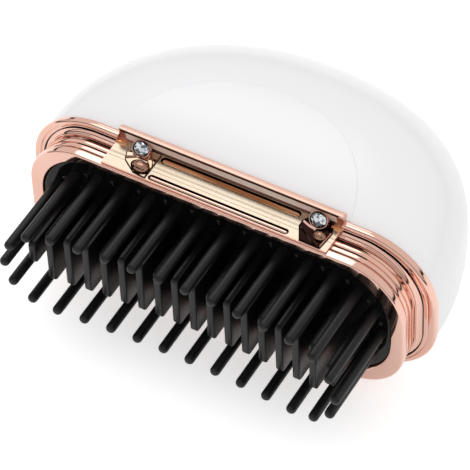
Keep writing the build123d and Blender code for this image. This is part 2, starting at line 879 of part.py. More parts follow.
with BuildPart() as power_button:
    with BuildSketch(end_deck(button_flange_back, button_height, button_z)) as cap:
        Circle(button_radius)
    extrude(amount=button_face - button_flange_back)
    crown = power_button.faces().sort_by(Axis.X)[0].edges()
    fillet(crown, button_edge_radius)
    with BuildSketch(end_deck(button_flange_back, button_height, button_z)) as collar:
        Circle(button_flange_radius)
    extrude(amount=button_flange_thickness)
save(power_button, "power_button")

# Charging socket: metal shell with a floor and a tongue
with BuildPart() as usb_socket:
    socket_plane = end_deck(socket_face, board_top + socket_height / 2, socket_z)
    with BuildSketch(socket_plane) as can:
        RectangleRounded(socket_width, socket_height, socket_corner)
    extrude(amount=-socket_length)
    with BuildSketch(socket_plane) as mouth:
        RectangleRounded(
            socket_width - 2 * socket_wall,
            socket_height - 2 * socket_wall,
            socket_corner - socket_wall,
        )
    extrude(amount=-socket_depth, mode=Mode.SUBTRACT)
    with BuildSketch(socket_plane.offset(tongue_root - socket_length)) as tongue:
        Rectangle(tongue_width, tongue_thickness)
    extrude(amount=tongue_length)
save(usb_socket, "usb_socket")

# Status lamp on the board and its light pipe to the left end
with BuildPart() as status_led:
    with BuildSketch(deck(board_top + led_height)) as lamp:
        with Locations((led_x, socket_z)):
            Rectangle(led_size, led_size)
    extrude(amount=led_height)
save(status_led, "status_led")

with BuildPart() as light_pipe:
    with BuildLine() as route:
        FilletPolyline(
            (led_x, board_top + led_height + seat_gap - mid_height, mid_z + socket_z),
            (led_x, light_height - mid_height, mid_z + socket_z),
            (-light_face, light_height - mid_height, mid_z + socket_z),
            radius=2 * light_radius,
        )
    with BuildSketch(Plane(origin=route.line @ 0, z_dir=(0, 1, 0))) as rod:
        Circle(light_radius)
    sweep(rod.sketch, path=route.line)
save(light_pipe, "light_pipe")

# Screws, a node for each group of like ones
frame_screws = screws(
    post_places, seam_height - lug_height, False, lug_height + frame_thickness + screw_bite - screw_end_gap
)
save(frame_screws, "frame_screws")
plate_screws = screws(boss_places, frame_top, True, frame_thickness + screw_bite - screw_end_gap)
save(plate_screws, "plate_screws")
holder_screws = screws(leg_places, frame_bottom, False, frame_thickness + screw_bite - screw_end_gap)
save(holder_screws, "holder_screws")
heater_screw_seat = frame_top - screw_head_height
heater_screws = screws(
    standoff_places, heater_screw_seat, True, heater_screw_seat - heater_top + heater_screw_bite
)
save(heater_screws, "heater_screws")
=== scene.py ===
from math import acos, cos, hypot, pi, radians, sin

import bmesh
import bpy
from bpy.props import FloatProperty, FloatVectorProperty, IntProperty, PointerProperty
from mathutils import Matrix, Vector


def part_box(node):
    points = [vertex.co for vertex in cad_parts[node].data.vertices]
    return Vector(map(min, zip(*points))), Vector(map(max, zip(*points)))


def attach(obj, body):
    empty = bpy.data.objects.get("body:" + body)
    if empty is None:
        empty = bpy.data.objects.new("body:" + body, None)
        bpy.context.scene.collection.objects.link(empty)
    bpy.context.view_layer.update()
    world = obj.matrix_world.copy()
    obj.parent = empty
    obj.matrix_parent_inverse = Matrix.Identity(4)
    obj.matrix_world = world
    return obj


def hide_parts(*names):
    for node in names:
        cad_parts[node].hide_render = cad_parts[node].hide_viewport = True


bl_info = {
    "name": "Hair straightening brush",
    "version": (1, 0, 0),
    "blender": (4, 5, 0),
    "location": "3D View > Sidebar > Brush",
    "description": "Dresses the packed hair straightening brush: dome, trim, bar, stones, pins and fins",
    "category": "Object",
}

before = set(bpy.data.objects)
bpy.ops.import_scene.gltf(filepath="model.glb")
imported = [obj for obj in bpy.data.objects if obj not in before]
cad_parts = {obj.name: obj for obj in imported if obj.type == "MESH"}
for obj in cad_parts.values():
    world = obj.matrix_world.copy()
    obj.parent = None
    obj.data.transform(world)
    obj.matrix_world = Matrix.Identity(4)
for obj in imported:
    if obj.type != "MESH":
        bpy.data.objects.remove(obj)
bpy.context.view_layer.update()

MM = 0.001
HOUSING = "housing"
BUTTON = "power_button"

# Height and depth of the model's own middle, in millimetres
MIDDLE_HEIGHT = 38.5101
MIDDLE_DEPTH = 24.04

# Outlines (half length, half depth, corner) and heights that the pieces share, in millimetres
SEAM = 28.9
TRIM = (48.7, 19.2, 14.4)
FLANGE = (53.25, 21.4, 18.5)
OPENING = (45.8, 17.7, 15.2)
LIP_BOTTOM = 18.3
LIP_TOP = 20.8
FLANGE_BOTTOM = 26.45
NOTCH_HALF = 29.35
NOTCH_DEPTH = 18.95
NOTCH_BOTTOM = 18.85
BAR_HALF = 29.3
BAR_BOTTOM = 18.9
BAR_FACE = 20.1
BAR_UNDER = 27.0
BAR_TOP = 29.2
BAR_FRONT = 23.45
BAR_RECESSES = ((25.97, 1.05), (20.1, 0.85))
RECESS_HALF = 18.25
RECESS_SHIFT = 0.9
RIDGE_HALF = RECESS_HALF - 0.3
BAR_GROOVES = (21.95, 23.0, 23.3)
BAR_CREASE = 26.0
DOME_HEIGHT = 52.14
DOME_LENGTH = 52.2
DOME_DEPTH = 23.29
DOME_SEAM_DEPTH = 20.9
DOME_BULGE = 15.1
LENGTH_POWER = 2.241
DEPTH_POWER = 2.192
SEAM_POWER = 3.591
TOP_POWER = 2.134
SHELL_WALL = 2.0
PANEL_RADIUS = 31.4
PANEL_CENTRE = 24.15
PANEL_SHIFT = -1.0
STONE_X = 23.1
STONE_HEIGHT = 25.65
STONE_OUT = 21.45
STONE_TILT = 35.0
STONE_LEAN = 15.0
STONE_LONG = 1.2
STONE_SHIFT = 0.8
ROW_OUT = 12.35
PIN_PITCH = 6.9
PINS_PER_ROW = 10
FIN_PITCH = 4.6
FIN_COUNT = 18
TIP_LEVEL = -0.85
TIP_CURVE = 295.0
PLATE_CURVE = 370.0
PLATE_LEVEL = 21.35
PLATE_BACK = 23.35
FIN_SETBACK = 4.5
FIN_REACH = 7.8
END_FIN_REACH = 3.4
FIN_FOOT = 24.4
FIN_CORNER = 1.2
FIN_EDGE = 0.3
BUTTON_HEIGHT = 38.8
BUTTON_OUT = -6.0
SOCKET_HEIGHT = 35.25
SOCKET_OUT = 4.6
LIGHT_HEIGHT = 41.0
BORE_START = 42.0
BORE_END = 56.0
BUTTON_BORE = 4.5
LIGHT_BORE = 0.95
SOCKET_RUN = 3.0
SOCKET_ROUND = 1.95


# Shapes


def spot(x, height, out):
    """Point in metres from a place along the brush, a height towards the dome and a depth."""
    return Vector((x * MM, (height - MIDDLE_HEIGHT) * MM, (MIDDLE_DEPTH + out) * MM))


def smooth(low, high, value):
    """Share from 0 to 1 that a value has come between two limits, eased at both."""
    share = min(max((value - low) / (high - low), 0.0), 1.0)
    return share * share * (3 - 2 * share)


def arc(centre_a, centre_b, radius, start, end, steps):
    """Points of an arc as pairs, angles in degrees."""
    points = []
    for step in range(steps + 1):
        turn = radians(start + (end - start) * step / steps)
        points.append((centre_a + radius * cos(turn), centre_b + radius * sin(turn)))
    return points


def slot_pairs(run, radius):
    """Long rounded slot as pairs, its two round ends centred a run away from its middle."""
    pairs = []
    for side, start in ((1, -90), (-1, 90)):
        pairs += arc(side * run, 0.0, radius, start, start + 180, 12)
    return pairs


def linked(name, data):
    """New object in the scene."""
    made = bpy.data.objects.new(name, data)
    bpy.context.collection.objects.link(made)
    return made


class Surface:
    """Vertices and faces of a piece, gathered from lofts."""

    def __init__(self):
        self.points = []
        self.faces = []

    def loft(self, rings, capped=False):
        """Skin over closed rings of equally many points, with a face on both ends if asked."""
        base = len(self.points)
        count = len(rings[0])
        last = base + (len(rings) - 1) * count
        for ring in rings:
            self.points.extend(ring)
        for low in range(base, last, count):
            for here in range(count):
                beside = (here + 1) % count
                self.faces.append((low + here, low + beside, low + count + beside, low + count + here))
        if capped:
            self.faces.append(tuple(range(base, base + count))[::-1])
            self.faces.append(tuple(range(last, last + count)))
        return self

    def turned(self, place, profile, sides=32):
        """Solid round an axis, from place(radius, along, turn) and a profile of (radius, along)."""
        turns = [2 * pi * side / sides for side in range(sides)]
        rings = [[place(radius, along, turn) for turn in turns] for radius, along in profile]
        return self.loft(rings, True)

    def build(self, name, sharp=30.0):
        """Object of the gathered faces, with smooth shading up to an angle."""
        mesh = bpy.data.meshes.new(name)
        mesh.from_pydata(self.points, [], self.faces)
        work = bmesh.new()
        work.from_mesh(mesh)
        bmesh.ops.remove_doubles(work, verts=work.verts, dist=1e-7)
        bmesh.ops.dissolve_degenerate(work, edges=work.edges, dist=1e-8)
        bmesh.ops.recalc_face_normals(work, faces=work.faces)
        work.to_mesh(mesh)
        work.free()
        piece = linked(name, mesh)
        soften(piece, sharp)
        return piece


def soften(piece, sharp):
    """Smooth shading with edges over an angle kept sharp."""
    piece.data.shade_smooth()
    piece.data.set_sharp_from_angle(angle=radians(sharp))


def cut(piece, cutters, sharp=30.0):
    """Takes the cutters' space out of a piece and removes the cutters."""
    for cutter in cutters:
        tool = piece.modifiers.new("cut", "BOOLEAN")
        tool.operation = "DIFFERENCE"
        tool.solver = "EXACT"
        tool.object = cutter
    graph = bpy.context.evaluated_depsgraph_get()
    mesh = bpy.data.meshes.new_from_object(piece.evaluated_get(graph))
    piece.modifiers.clear()
    piece.data = mesh
    for cutter in cutters:
        bpy.data.objects.remove(cutter)
    soften(piece, sharp)


def settle(piece, material, nodes=(), body=HOUSING):
    """Gives a piece its finish, its body and the nodes that it stands for."""
    piece.data.materials.clear()
    piece.data.materials.append(material)
    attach(piece, body)
    if nodes:
        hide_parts(*nodes)


def dress(node, material):
    """Gives a carried-over CAD node its finish."""
    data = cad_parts[node].data
    data.materials.clear()
    data.materials.append(material)


def outline(size, grow=0.0):
    """Rounded rectangle as (x, out) pairs, always the same count, doubled where the bar's notch ends."""
    half_length, half_depth, corner = (part + grow for part in size)
    run = half_length - corner
    rise = half_depth - corner
    notch = (-NOTCH_HALF, -NOTCH_HALF, 0.0, NOTCH_HALF, NOTCH_HALF)
    points = [(x, half_depth) for x in (-run, *notch, run)]
    steps = 36
    points += arc(run, rise, corner, 90, 0, steps)[1:]
    points += arc(run, -rise, corner, 0, -90, steps)
    points += arc(-run, -rise, corner, -90, -180, steps)
    points += arc(-run, rise, corner, 180, 90, steps)[:-1]
    return points


def notched(points):
    """Outline with the bar's notch taken out of its front."""
    result = list(points)
    for place in (2, 3, 4):
        x, out = result[place]
        result[place] = (x, min(out, NOTCH_DEPTH))
    return result


def level(points, height):
    """Ring of points at one height."""
    return [spot(x, height, out) for x, out in points]


def dome_shape(height, inset=0.0):
    """Half length, half depth and superellipse power of the dome at a height."""
    top = DOME_HEIGHT - inset
    share = min(max((height - SEAM) / top, 0.0), 1.0)
    rise = DOME_HEIGHT * share
    length = (DOME_LENGTH - inset) * (1 - share**LENGTH_POWER) ** (1 / LENGTH_POWER)
    if rise < DOME_BULGE:
        lean = (DOME_BULGE - rise) / DOME_BULGE
        depth = DOME_DEPTH - (DOME_DEPTH - DOME_SEAM_DEPTH) * lean**2
    else:
        climb = min((rise - DOME_BULGE) / (DOME_HEIGHT - DOME_BULGE), 1.0)
        depth = DOME_DEPTH * (1 - climb**DEPTH_POWER) ** (1 / DEPTH_POWER)
    depth *= (DOME_DEPTH - inset) / DOME_DEPTH
    power = SEAM_POWER + (TOP_POWER - SEAM_POWER) * share
    return length, depth, power


def dome_ring(height, inset, count=144):
    """Ring of points on the dome's skin, or a wall further in."""
    length, depth, power = dome_shape(height, inset)
    ring = []
    for step in range(count):
        turn = 2 * pi * step / count
        along, across = cos(turn), sin(turn)
        reach = (abs(along) ** power + abs(across) ** power) ** (-1 / power)
        ring.append(spot(length * reach * along, height, depth * reach * across))
    return ring


def dome_out(x, height):
    """Depth of the dome's front skin at a place."""
    length, depth, power = dome_shape(height)
    share = min(abs(x) / length, 1.0)
    return depth * (1 - share**power) ** (1 / power)


def left_end(height, out):
    """Function that places a point round an axis along the brush, at its left end."""

    def place(radius, along, turn):
        return spot(-along, height + radius * cos(turn), out + radius * sin(turn))

    return place


# Finishes


class Wire:
    """Output of a shader node that can be used in expressions."""

    def __init__(self, finish, socket):
        self.finish = finish
        self.socket = socket

    def _math(self, operation, first, second):
        node = self.finish.node("ShaderNodeMath", {"operation": operation}, {0: first, 1: second})
        return Wire(self.finish, node.outputs[0])

    def __add__(self, other):
        return self._math("ADD", self, other)

    def __radd__(self, other):
        return self._math("ADD", other, self)

    def __sub__(self, other):
        return self._math("SUBTRACT", self, other)

    def __rsub__(self, other):
        return self._math("SUBTRACT", other, self)

    def __mul__(self, other):
        return self._math("MULTIPLY", self, other)


    def most(self, other):
        return self._math("MAXIMUM", self, other)


class Finish:
    """Nodes of one material or world."""

    def __init__(self, owner):
        owner.use_nodes = True
        self.owner = owner
        self.tree = owner.node_tree
        self.tree.nodes.clear()

    def node(self, kind, settings=None, sockets=None):
        """New node with its settings, and its sockets joined or set."""
        made = self.tree.nodes.new(kind)
        for key, value in (settings or {}).items():
            setattr(made, key, value)
        for key, value in (sockets or {}).items():
            if isinstance(value, Wire):
                self.tree.links.new(value.socket, made.inputs[key])
            else:
                made.inputs[key].default_value = value
        return made

    def wire(self, kind, settings=None, sockets=None, output=0):
        """Output of a new node."""
        return Wire(self, self.node(kind, settings, sockets).outputs[output])

    def wires(self, node, *names):
        """Outputs of a node that has more than one in use."""
        return [Wire(self, node.outputs[name]) for name in names]

    def blend(self, share, first, second):
        """Colour between two colours."""
        sockets = {0: share, 6: colour4(first), 7: colour4(second)}
        return self.wire("ShaderNodeMix", {"data_type": "RGBA"}, sockets, 2)

    def step(self, value, low, high):
        """Share from 0 to 1 that a value has come between two limits, eased at both."""
        sockets = {0: value, 1: low, 2: high}
        return self.wire("ShaderNodeMapRange", {"interpolation_type": "SMOOTHSTEP"}, sockets)

    def mottle(self, cloud, low, high, first, second):
        """First colour, which turns into the second where a noise passes from a low to a high limit."""
        return self.blend(self.step(cloud, low, high), first, second)

    def place(self):
        """Place on the object in metres."""
        return self.wire("ShaderNodeTexCoord", output=3)

    def noise(self, scale, detail=3.0, stretch=None):
        vector = self.place()
        if stretch:
            vector = self.wire("ShaderNodeVectorMath", {"operation": "MULTIPLY"}, {0: vector, 1: stretch})
        return self.wire("ShaderNodeTexNoise", None, {"Vector": vector, "Scale": scale, "Detail": detail})

    def bump(self, height, strength, distance):
        sockets = {"Strength": strength, "Distance": distance, "Height": height}
        return self.wire("ShaderNodeBump", None, sockets)

    def surface(self, **sockets):
        """Material with a principled shader that has the named inputs."""
        named = {}
        for key, value in sockets.items():
            named[SOCKET_NAMES.get(key, key.replace("_", " ").title())] = value
        shader = self.node("ShaderNodeBsdfPrincipled", None, named)
        self.node("ShaderNodeOutputMaterial", None, {"Surface": Wire(self, shader.outputs[0])})
        return self.owner


SOCKET_NAMES = {"ior": "IOR", "specular_ior_level": "Specular IOR Level"}


def colour4(value):
    return value if isinstance(value, Wire) else (*tuple(value)[:3], 1.0)


def toned(colour, factor, lift=0.0):
    """Colour made lighter or darker."""
    return tuple(min(part * factor + lift, 1.0) for part in colour)

def new_finish(name):
    return Finish(bpy.data.materials.new(name))


def gloss_plastic(name, colour, rough=0.12, specular=0.5, coat=0.0, wave=0.00002):
    """Moulded plastic with faint flow in its colour and a slight waviness in its gloss."""
    finish = new_finish(name)
    flow = finish.noise(60.0, 4.0)
    fine = finish.noise(900.0, 2.0)
    shade = toned(colour, 0.97)
    return finish.surface(
        base_color=finish.mottle(flow, 0.35, 0.65, colour, shade),
        roughness=rough + fine * (rough * 0.5),
        normal=finish.bump(flow + fine * 0.08, 0.25, wave),
        specular_ior_level=specular,
        coat_weight=coat,
        coat_roughness=0.04,
    )


def satin_plastic(name, colour, rough=0.42, grain=2600.0, depth=0.00003, specular=0.4):
    """Moulded plastic with a fine spark-eroded grain."""
    finish = new_finish(name)
    grains = finish.noise(grain, 2.0)
    cloud = finish.noise(140.0, 3.0)
    light = toned(colour, 1.25, 0.004)
    return finish.surface(
        base_color=finish.mottle(cloud, 0.35, 0.7, colour, light),
        roughness=rough + (cloud - 0.5) * 0.16,
        normal=finish.bump(grains, 0.35, depth),
        specular_ior_level=specular,
    )


def plated(name, colour, rough=0.06, wave=0.00003, scale=70.0):
    """Bright plating over moulded plastic: slow waves, small specks and a rosy drift in its colour."""
    finish = new_finish(name)
    drift = finish.noise(45.0, 3.0)
    waves = finish.noise(scale, 1.5)
    specks = finish.noise(1500.0, 2.0)
    deep = (colour[0] * 0.96, colour[1] * 0.9, colour[2] * 0.86)
    return finish.surface(
        base_color=finish.mottle(drift, 0.35, 0.7, colour, deep),
        metallic=1.0,
        roughness=rough + finish.step(specks, 0.6, 0.75) * 0.08 + drift * 0.03,
        normal=finish.bump(waves, 0.5, wave),
    )


def metal(name, colour, rough=0.3, stretch=(20.0, 900.0, 900.0)):
    """Rolled or brushed metal with fine lines along the brush."""
    finish = new_finish(name)
    lines = finish.noise(1.0, 4.0, stretch)
    stain = finish.noise(120.0, 3.0)
    dark = toned(colour, 0.8)
    return finish.surface(
        base_color=finish.mottle(stain, 0.3, 0.75, colour, dark),
        metallic=1.0,
        roughness=rough + lines * 0.15,
        normal=finish.bump(lines, 0.4, 0.00003),
    )


def rubber(name, colour):
    """Soft matt rubber or silicone with bloom."""
    finish = new_finish(name)
    bloom = finish.noise(300.0, 4.0)
    pale = toned(colour, 0.8, 0.06)
    return finish.surface(
        base_color=finish.mottle(bloom, 0.45, 0.8, colour, pale),
        roughness=0.6 + bloom * 0.2,
        normal=finish.bump(bloom, 0.3, 0.00004),
        specular_ior_level=0.3,
    )


def board_finish(name, colour):
    """Solder resist over copper tracks and pads."""
    finish = new_finish(name)
    sockets = {"Vector": finish.place(), "Scale": 260.0, "Randomness": 0.2}
    tracks = finish.wire("ShaderNodeTexVoronoi", {"distance": "CHEBYCHEV"}, sockets)
    pads = finish.step(tracks, 0.12, 0.16)
    resist = finish.mottle(tracks, 0.3, 0.34, toned(colour, 1.8, 0.02), colour)
    return finish.surface(
        base_color=finish.blend(pads, (0.62, 0.58, 0.5), resist),
        roughness=0.3 + pads * 0.1,
        normal=finish.bump(tracks, 0.3, 0.00003),
    )


def clear_finish(name, colour):
    """Clear moulding, slightly tinted."""
    finish = new_finish(name)
    cloud = finish.noise(250.0, 3.0)
    return finish.surface(
        base_color=finish.blend(cloud, colour, (1.0, 1.0, 1.0)),
        roughness=0.05 + cloud * 0.1,
        transmission_weight=0.85,
        ior=1.49,
        normal=finish.bump(cloud, 0.2, 0.00002),
    )


def stone_finish(name, colour):
    """Cut stone on a silver foil: each facet mirrors another part of the room, and painted reflection adds
    dark blotches and grey flecks to its colour.
    """
    finish = new_finish(name)
    flecks = finish.noise(2200.0, 2.0)
    painted_reflection_patches = finish.noise(1000.0, 1.0)
    # Painted reflection: grey flecks and dark blotches in the stone's colour
    painted_facet_shades = finish.mottle(flecks, 0.4, 0.7, colour, (0.42, 0.46, 0.5))
    return finish.surface(
        base_color=finish.mottle(painted_reflection_patches, 0.42, 0.56, (0.1, 0.12, 0.14), painted_facet_shades),
        metallic=1.0,
        roughness=0.03 + flecks * 0.04,
        coat_weight=1.0,
        coat_roughness=0.02,
        normal=finish.bump(flecks, 0.15, 0.00002),
    )


def coated_metal(name, colour):
    """Black ceramic coat sprayed on metal blades."""
    finish = new_finish(name)
    spray = finish.noise(1800.0, 3.0)
    cloud = finish.noise(90.0, 3.0)
    light = toned(colour, 1.3, 0.002)
    return finish.surface(
        base_color=finish.mottle(cloud, 0.35, 0.7, colour, light),
        roughness=0.24 + spray * 0.16,
        normal=finish.bump(spray, 0.3, 0.00002),
        specular_ior_level=0.3,
    )


# Settings


def length(label, text, default):
    """Size setting in metres."""
    return FloatProperty(name=label, description=text, default=default, unit="LENGTH", precision=5)


def tint(label, text, default):
    """Colour setting."""
    return FloatVectorProperty(name=label, description=text, default=default, subtype="COLOR")


class BrushSizes(bpy.types.PropertyGroup):
    """Sizes of the parts that the dressing adds."""

    pin_radius: length("Pin radius", "Radius of a guard pin", 0.00123)
    pin_roundness: FloatProperty(
        name="Pin roundness", description="Superellipse power of a pin's tip", default=2.5, min=2.0, max=6.0
    )
    stud_radius: length("Stud radius", "Radius of a stud on the plate", 0.0008)
    stud_height: length("Stud height", "Height of a stud on the plate", 0.0005)
    fin_thickness: length("Fin thickness", "Thickness of a heating fin", 0.0018)
    panel_raise: length("Inlay raise", "How far the round front inlay stands above the dome", 0.00035)
    bezel_radius: length("Bezel radius", "Outer radius of a stone's bezel, across its short way", 0.002)
    stone_facets: IntProperty(
        name="Stone facets", description="Facets round the table of a stone", default=8, min=6, max=12
    )


class BrushColours(bpy.types.PropertyGroup):
    """Colours of the finishes."""

    white: tint("Dome white", "Gloss plastic of the dome", (0.9, 0.9, 0.9))
    rose: tint("Rose plating", "Plating of the trim and the bar", (0.83, 0.53, 0.44))
    plate: tint("Plate black", "Gloss plastic of the bristle plate", (0.004, 0.004, 0.0045))
    pin: tint("Pin black", "Satin plastic of the guard pins", (0.0055, 0.0055, 0.006))
    fin: tint("Fin black", "Coat of the heating fins", (0.0035, 0.0035, 0.004))
    stone: tint("Stone", "Foiled cut stones", (0.85, 0.88, 0.9))


def sizes():
    return bpy.context.scene.brush_sizes


def colours():
    return bpy.context.scene.brush_colours


def once(name, maker, *values, **settings):
    """Finish of that name, made when it is first asked for."""
    return bpy.data.materials.get(name) or maker(name, *values, **settings)


def white_gloss():
    return once("white_gloss", gloss_plastic, colours().white, rough=0.14, specular=0.45, coat=0.15)


def rose_plating():
    return once("rose_plating", plated, colours().rose)


# Painted shade: near-black plating for thin strips and rings that stand in for shade and dark reflections in
# grooves, recesses and round the stones and clasps
def umber_plating():
    return once("umber_plating", plated, (0.018, 0.007, 0.005), rough=0.12)


def brown_lens(name, colour):
    return once(name, plated, colour, rough=0.03, wave=0.00012, scale=700.0)


def brushed_gold():
    """Plating of the ridge in the upper recess, with fine lines drawn along it."""
    finish = new_finish("golden_band")
    lines = finish.noise(1.0, 3.0, (60.0, 2600.0, 2600.0))
    drift = finish.noise(90.0, 2.0)
    return finish.surface(
        base_color=finish.mottle(lines, 0.35, 0.65, (0.86, 0.55, 0.33), (0.45, 0.2, 0.09)),
        metallic=1.0,
        roughness=0.1 + drift * 0.1,
        normal=finish.bump(lines, 0.6, 0.00006),
    )


# Clasps on the bar's face, as (x, height): the shield, its painted colour, the half width of its
# painted-shade edge, its ribs with their half widths, and the lens. The colour is painted reflection, light
# brown on the left clasp and near black on the right; the edge is a near-black rib of painted shade.
CLASPS = {
    "left": {
        "shield": ((-25.6, 24.4), (-24.6, 22.0), (-21.1, 19.5), (-17.8, 19.1), (-17.8, 27.0), (-24.5, 27.0)),
        "colour": (0.46, 0.36, 0.27),
        "edge": 0.08,
        "ribs": (
            (((-20.4, 26.7), (-19.0, 24.9), (-17.9, 22.8)), 0.14),
            (((-25.0, 22.6), (-22.5, 23.8), (-19.8, 23.9), (-17.9, 21.8)), 0.2),
        ),
        "lens": (-20.3, 21.5, 2.3, 1.6, 12.0),
    },
    "right": {
        "shield": (
            (20.3, 24.8), (20.3, 23.0), (22.3, 19.3), (27.5, 19.1), (28.0, 24.2), (27.0, 27.0), (21.5, 27.0),
        ),
        "colour": (0.01, 0.004, 0.003),
        "edge": 0.12,
        "ribs": (
            (((20.6, 22.8), (22.6, 21.6), (24.9, 20.0), (27.2, 19.3)), 0.13),
            (((24.0, 23.2), (24.6, 21.6), (26.8, 19.5)), 0.16),
            (((27.9, 24.0), (27.4, 19.4)), 0.14),
            (((20.7, 24.6), (22.5, 23.9), (24.4, 23.6)), 0.35),
        ),
        "lens": (26.0, 22.2, 1.6, 1.35, 12.0),
    },
}


# Pieces


class BRUSH_OT_shell(bpy.types.Operator):
    """Build the glossy one-piece dome with the openings of its left end"""

    bl_idname = "brush.shell"
    bl_label = "Dome"

    def execute(self, context):
        steps = 72
        shares = [sin(pi / 2 * step / steps) for step in range(steps + 1)]
        inside = DOME_HEIGHT - SHELL_WALL
        rings = [dome_ring(SEAM + DOME_HEIGHT * share, 0.0) for share in shares]
        rings += [dome_ring(SEAM + inside * share, SHELL_WALL) for share in reversed(shares)]
        shell = Surface().loft(rings + rings[:1]).build("shell_dome", 40.0)
        cutters = []
        for radius, height, out in (
            (BUTTON_BORE, BUTTON_HEIGHT, BUTTON_OUT),
            (LIGHT_BORE, LIGHT_HEIGHT, SOCKET_OUT),
        ):
            bore = Surface().turned(left_end(height, out), ((radius, BORE_START), (radius, BORE_END)), 48)
            cutters.append(bore.build("bore"))
        pairs = slot_pairs(SOCKET_RUN, SOCKET_ROUND)
        slot = [
            [spot(-along, SOCKET_HEIGHT + up, SOCKET_OUT + across) for across, up in pairs]
            for along in (BORE_START, BORE_END)
        ]
        cutters.append(Surface().loft(slot, True).build("slot"))
        cut(shell, cutters, 40.0)
        settle(shell, white_gloss(), ("shell",))
        return {"FINISHED"}


class BRUSH_OT_front_inlay(bpy.types.Operator):
    """Build the round inlay of the front face, with a rounded rim"""

    bl_idname = "brush.front_inlay"
    bl_label = "Front inlay"

    def execute(self, context):
        chord = SEAM + 0.25
        widest = acos((chord - PANEL_CENTRE) / PANEL_RADIUS) * 0.992
        high = sizes().panel_raise / MM
        sunk, rim = -0.6, 0.3
        count, rows = 96, 36
        loops = []
        for step in range(count + 1):
            turn = widest * (2 * step / count - 1)
            foot = PANEL_RADIUS * sin(turn) * 0.999 + PANEL_SHIFT
            loop = []

            def put(share, inset, lift):
                """Adds the point a share of the way from the chord to the rim."""
                reach = PANEL_RADIUS - inset
                x = foot + (reach * sin(turn) + PANEL_SHIFT - foot) * share
                height = max(chord + (PANEL_CENTRE + reach * cos(turn) - chord) * share, chord)
                loop.append(spot(x, height, dome_out(x, height) + lift))

            put(0.0, rim, sunk)
            for row in range(rows + 1):
                put(row / rows, rim, high)
            for corner in range(1, 6):
                lean = radians(90 * corner / 5)
                put(1.0, rim * (1 - sin(lean)), high - rim * (1 - cos(lean)))
            put(1.0, 0.0, sunk)
            loops.append(loop)
        inlay = Surface().loft(loops, True).build("front_inlay", 50.0)
        settle(inlay, white_gloss(), ("front_panel",))
        return {"FINISHED"}


class BRUSH_OT_rear_pad(bpy.types.Operator):
    """Build the flat oval pad that the brush lies on"""

    bl_idname = "brush.rear_pad"
    bl_label = "Rear pad"

    def execute(self, context):
        low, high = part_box("rear_panel")
        centre = (low + high) / 2
        half_x, half_y = (high.x - low.x) / 2, (high.y - low.y) / 2
        edge = 0.0005
        profile = [(1.0, high.z + 0.0006), (1.0, low.z + edge)]
        for lean in range(15, 91, 15):
            turn = radians(lean)
            profile.append((1.0 - edge / half_y * (1 - cos(turn)), low.z + edge * (1 - sin(turn))))
        profile += [(0.6, low.z), (0.2, low.z)]

        def place(reach, depth, turn):
            across = centre.x + half_x * reach * cos(turn)
            return Vector((across, centre.y + half_y * reach * sin(turn), depth))

        pad = Surface().turned(place, profile, 96).build("rear_pad", 40.0)
        material = satin_plastic("white_satin", (0.82, 0.82, 0.83), rough=0.5)
        settle(pad, material, ("rear_panel",))
        return {"FINISHED"}


def trim_size(share):
    """Outline part of the way from the trim's bands to its flange."""
    return tuple(near + (far - near) * share for near, far in zip(TRIM, FLANGE))


def faded_ring(size, grow, calm, start, end, height):
    """Notched ring whose growth turns into a calmer one between two distances from the middle."""
    ring = []
    for (x, out), (calm_x, calm_out) in zip(outline(size, grow), outline(size, calm)):
        fade = smooth(start, end, abs(x))
        ring.append((x + (calm_x - x) * fade, out + (calm_out - out) * fade))
    return level(notched(ring), height)


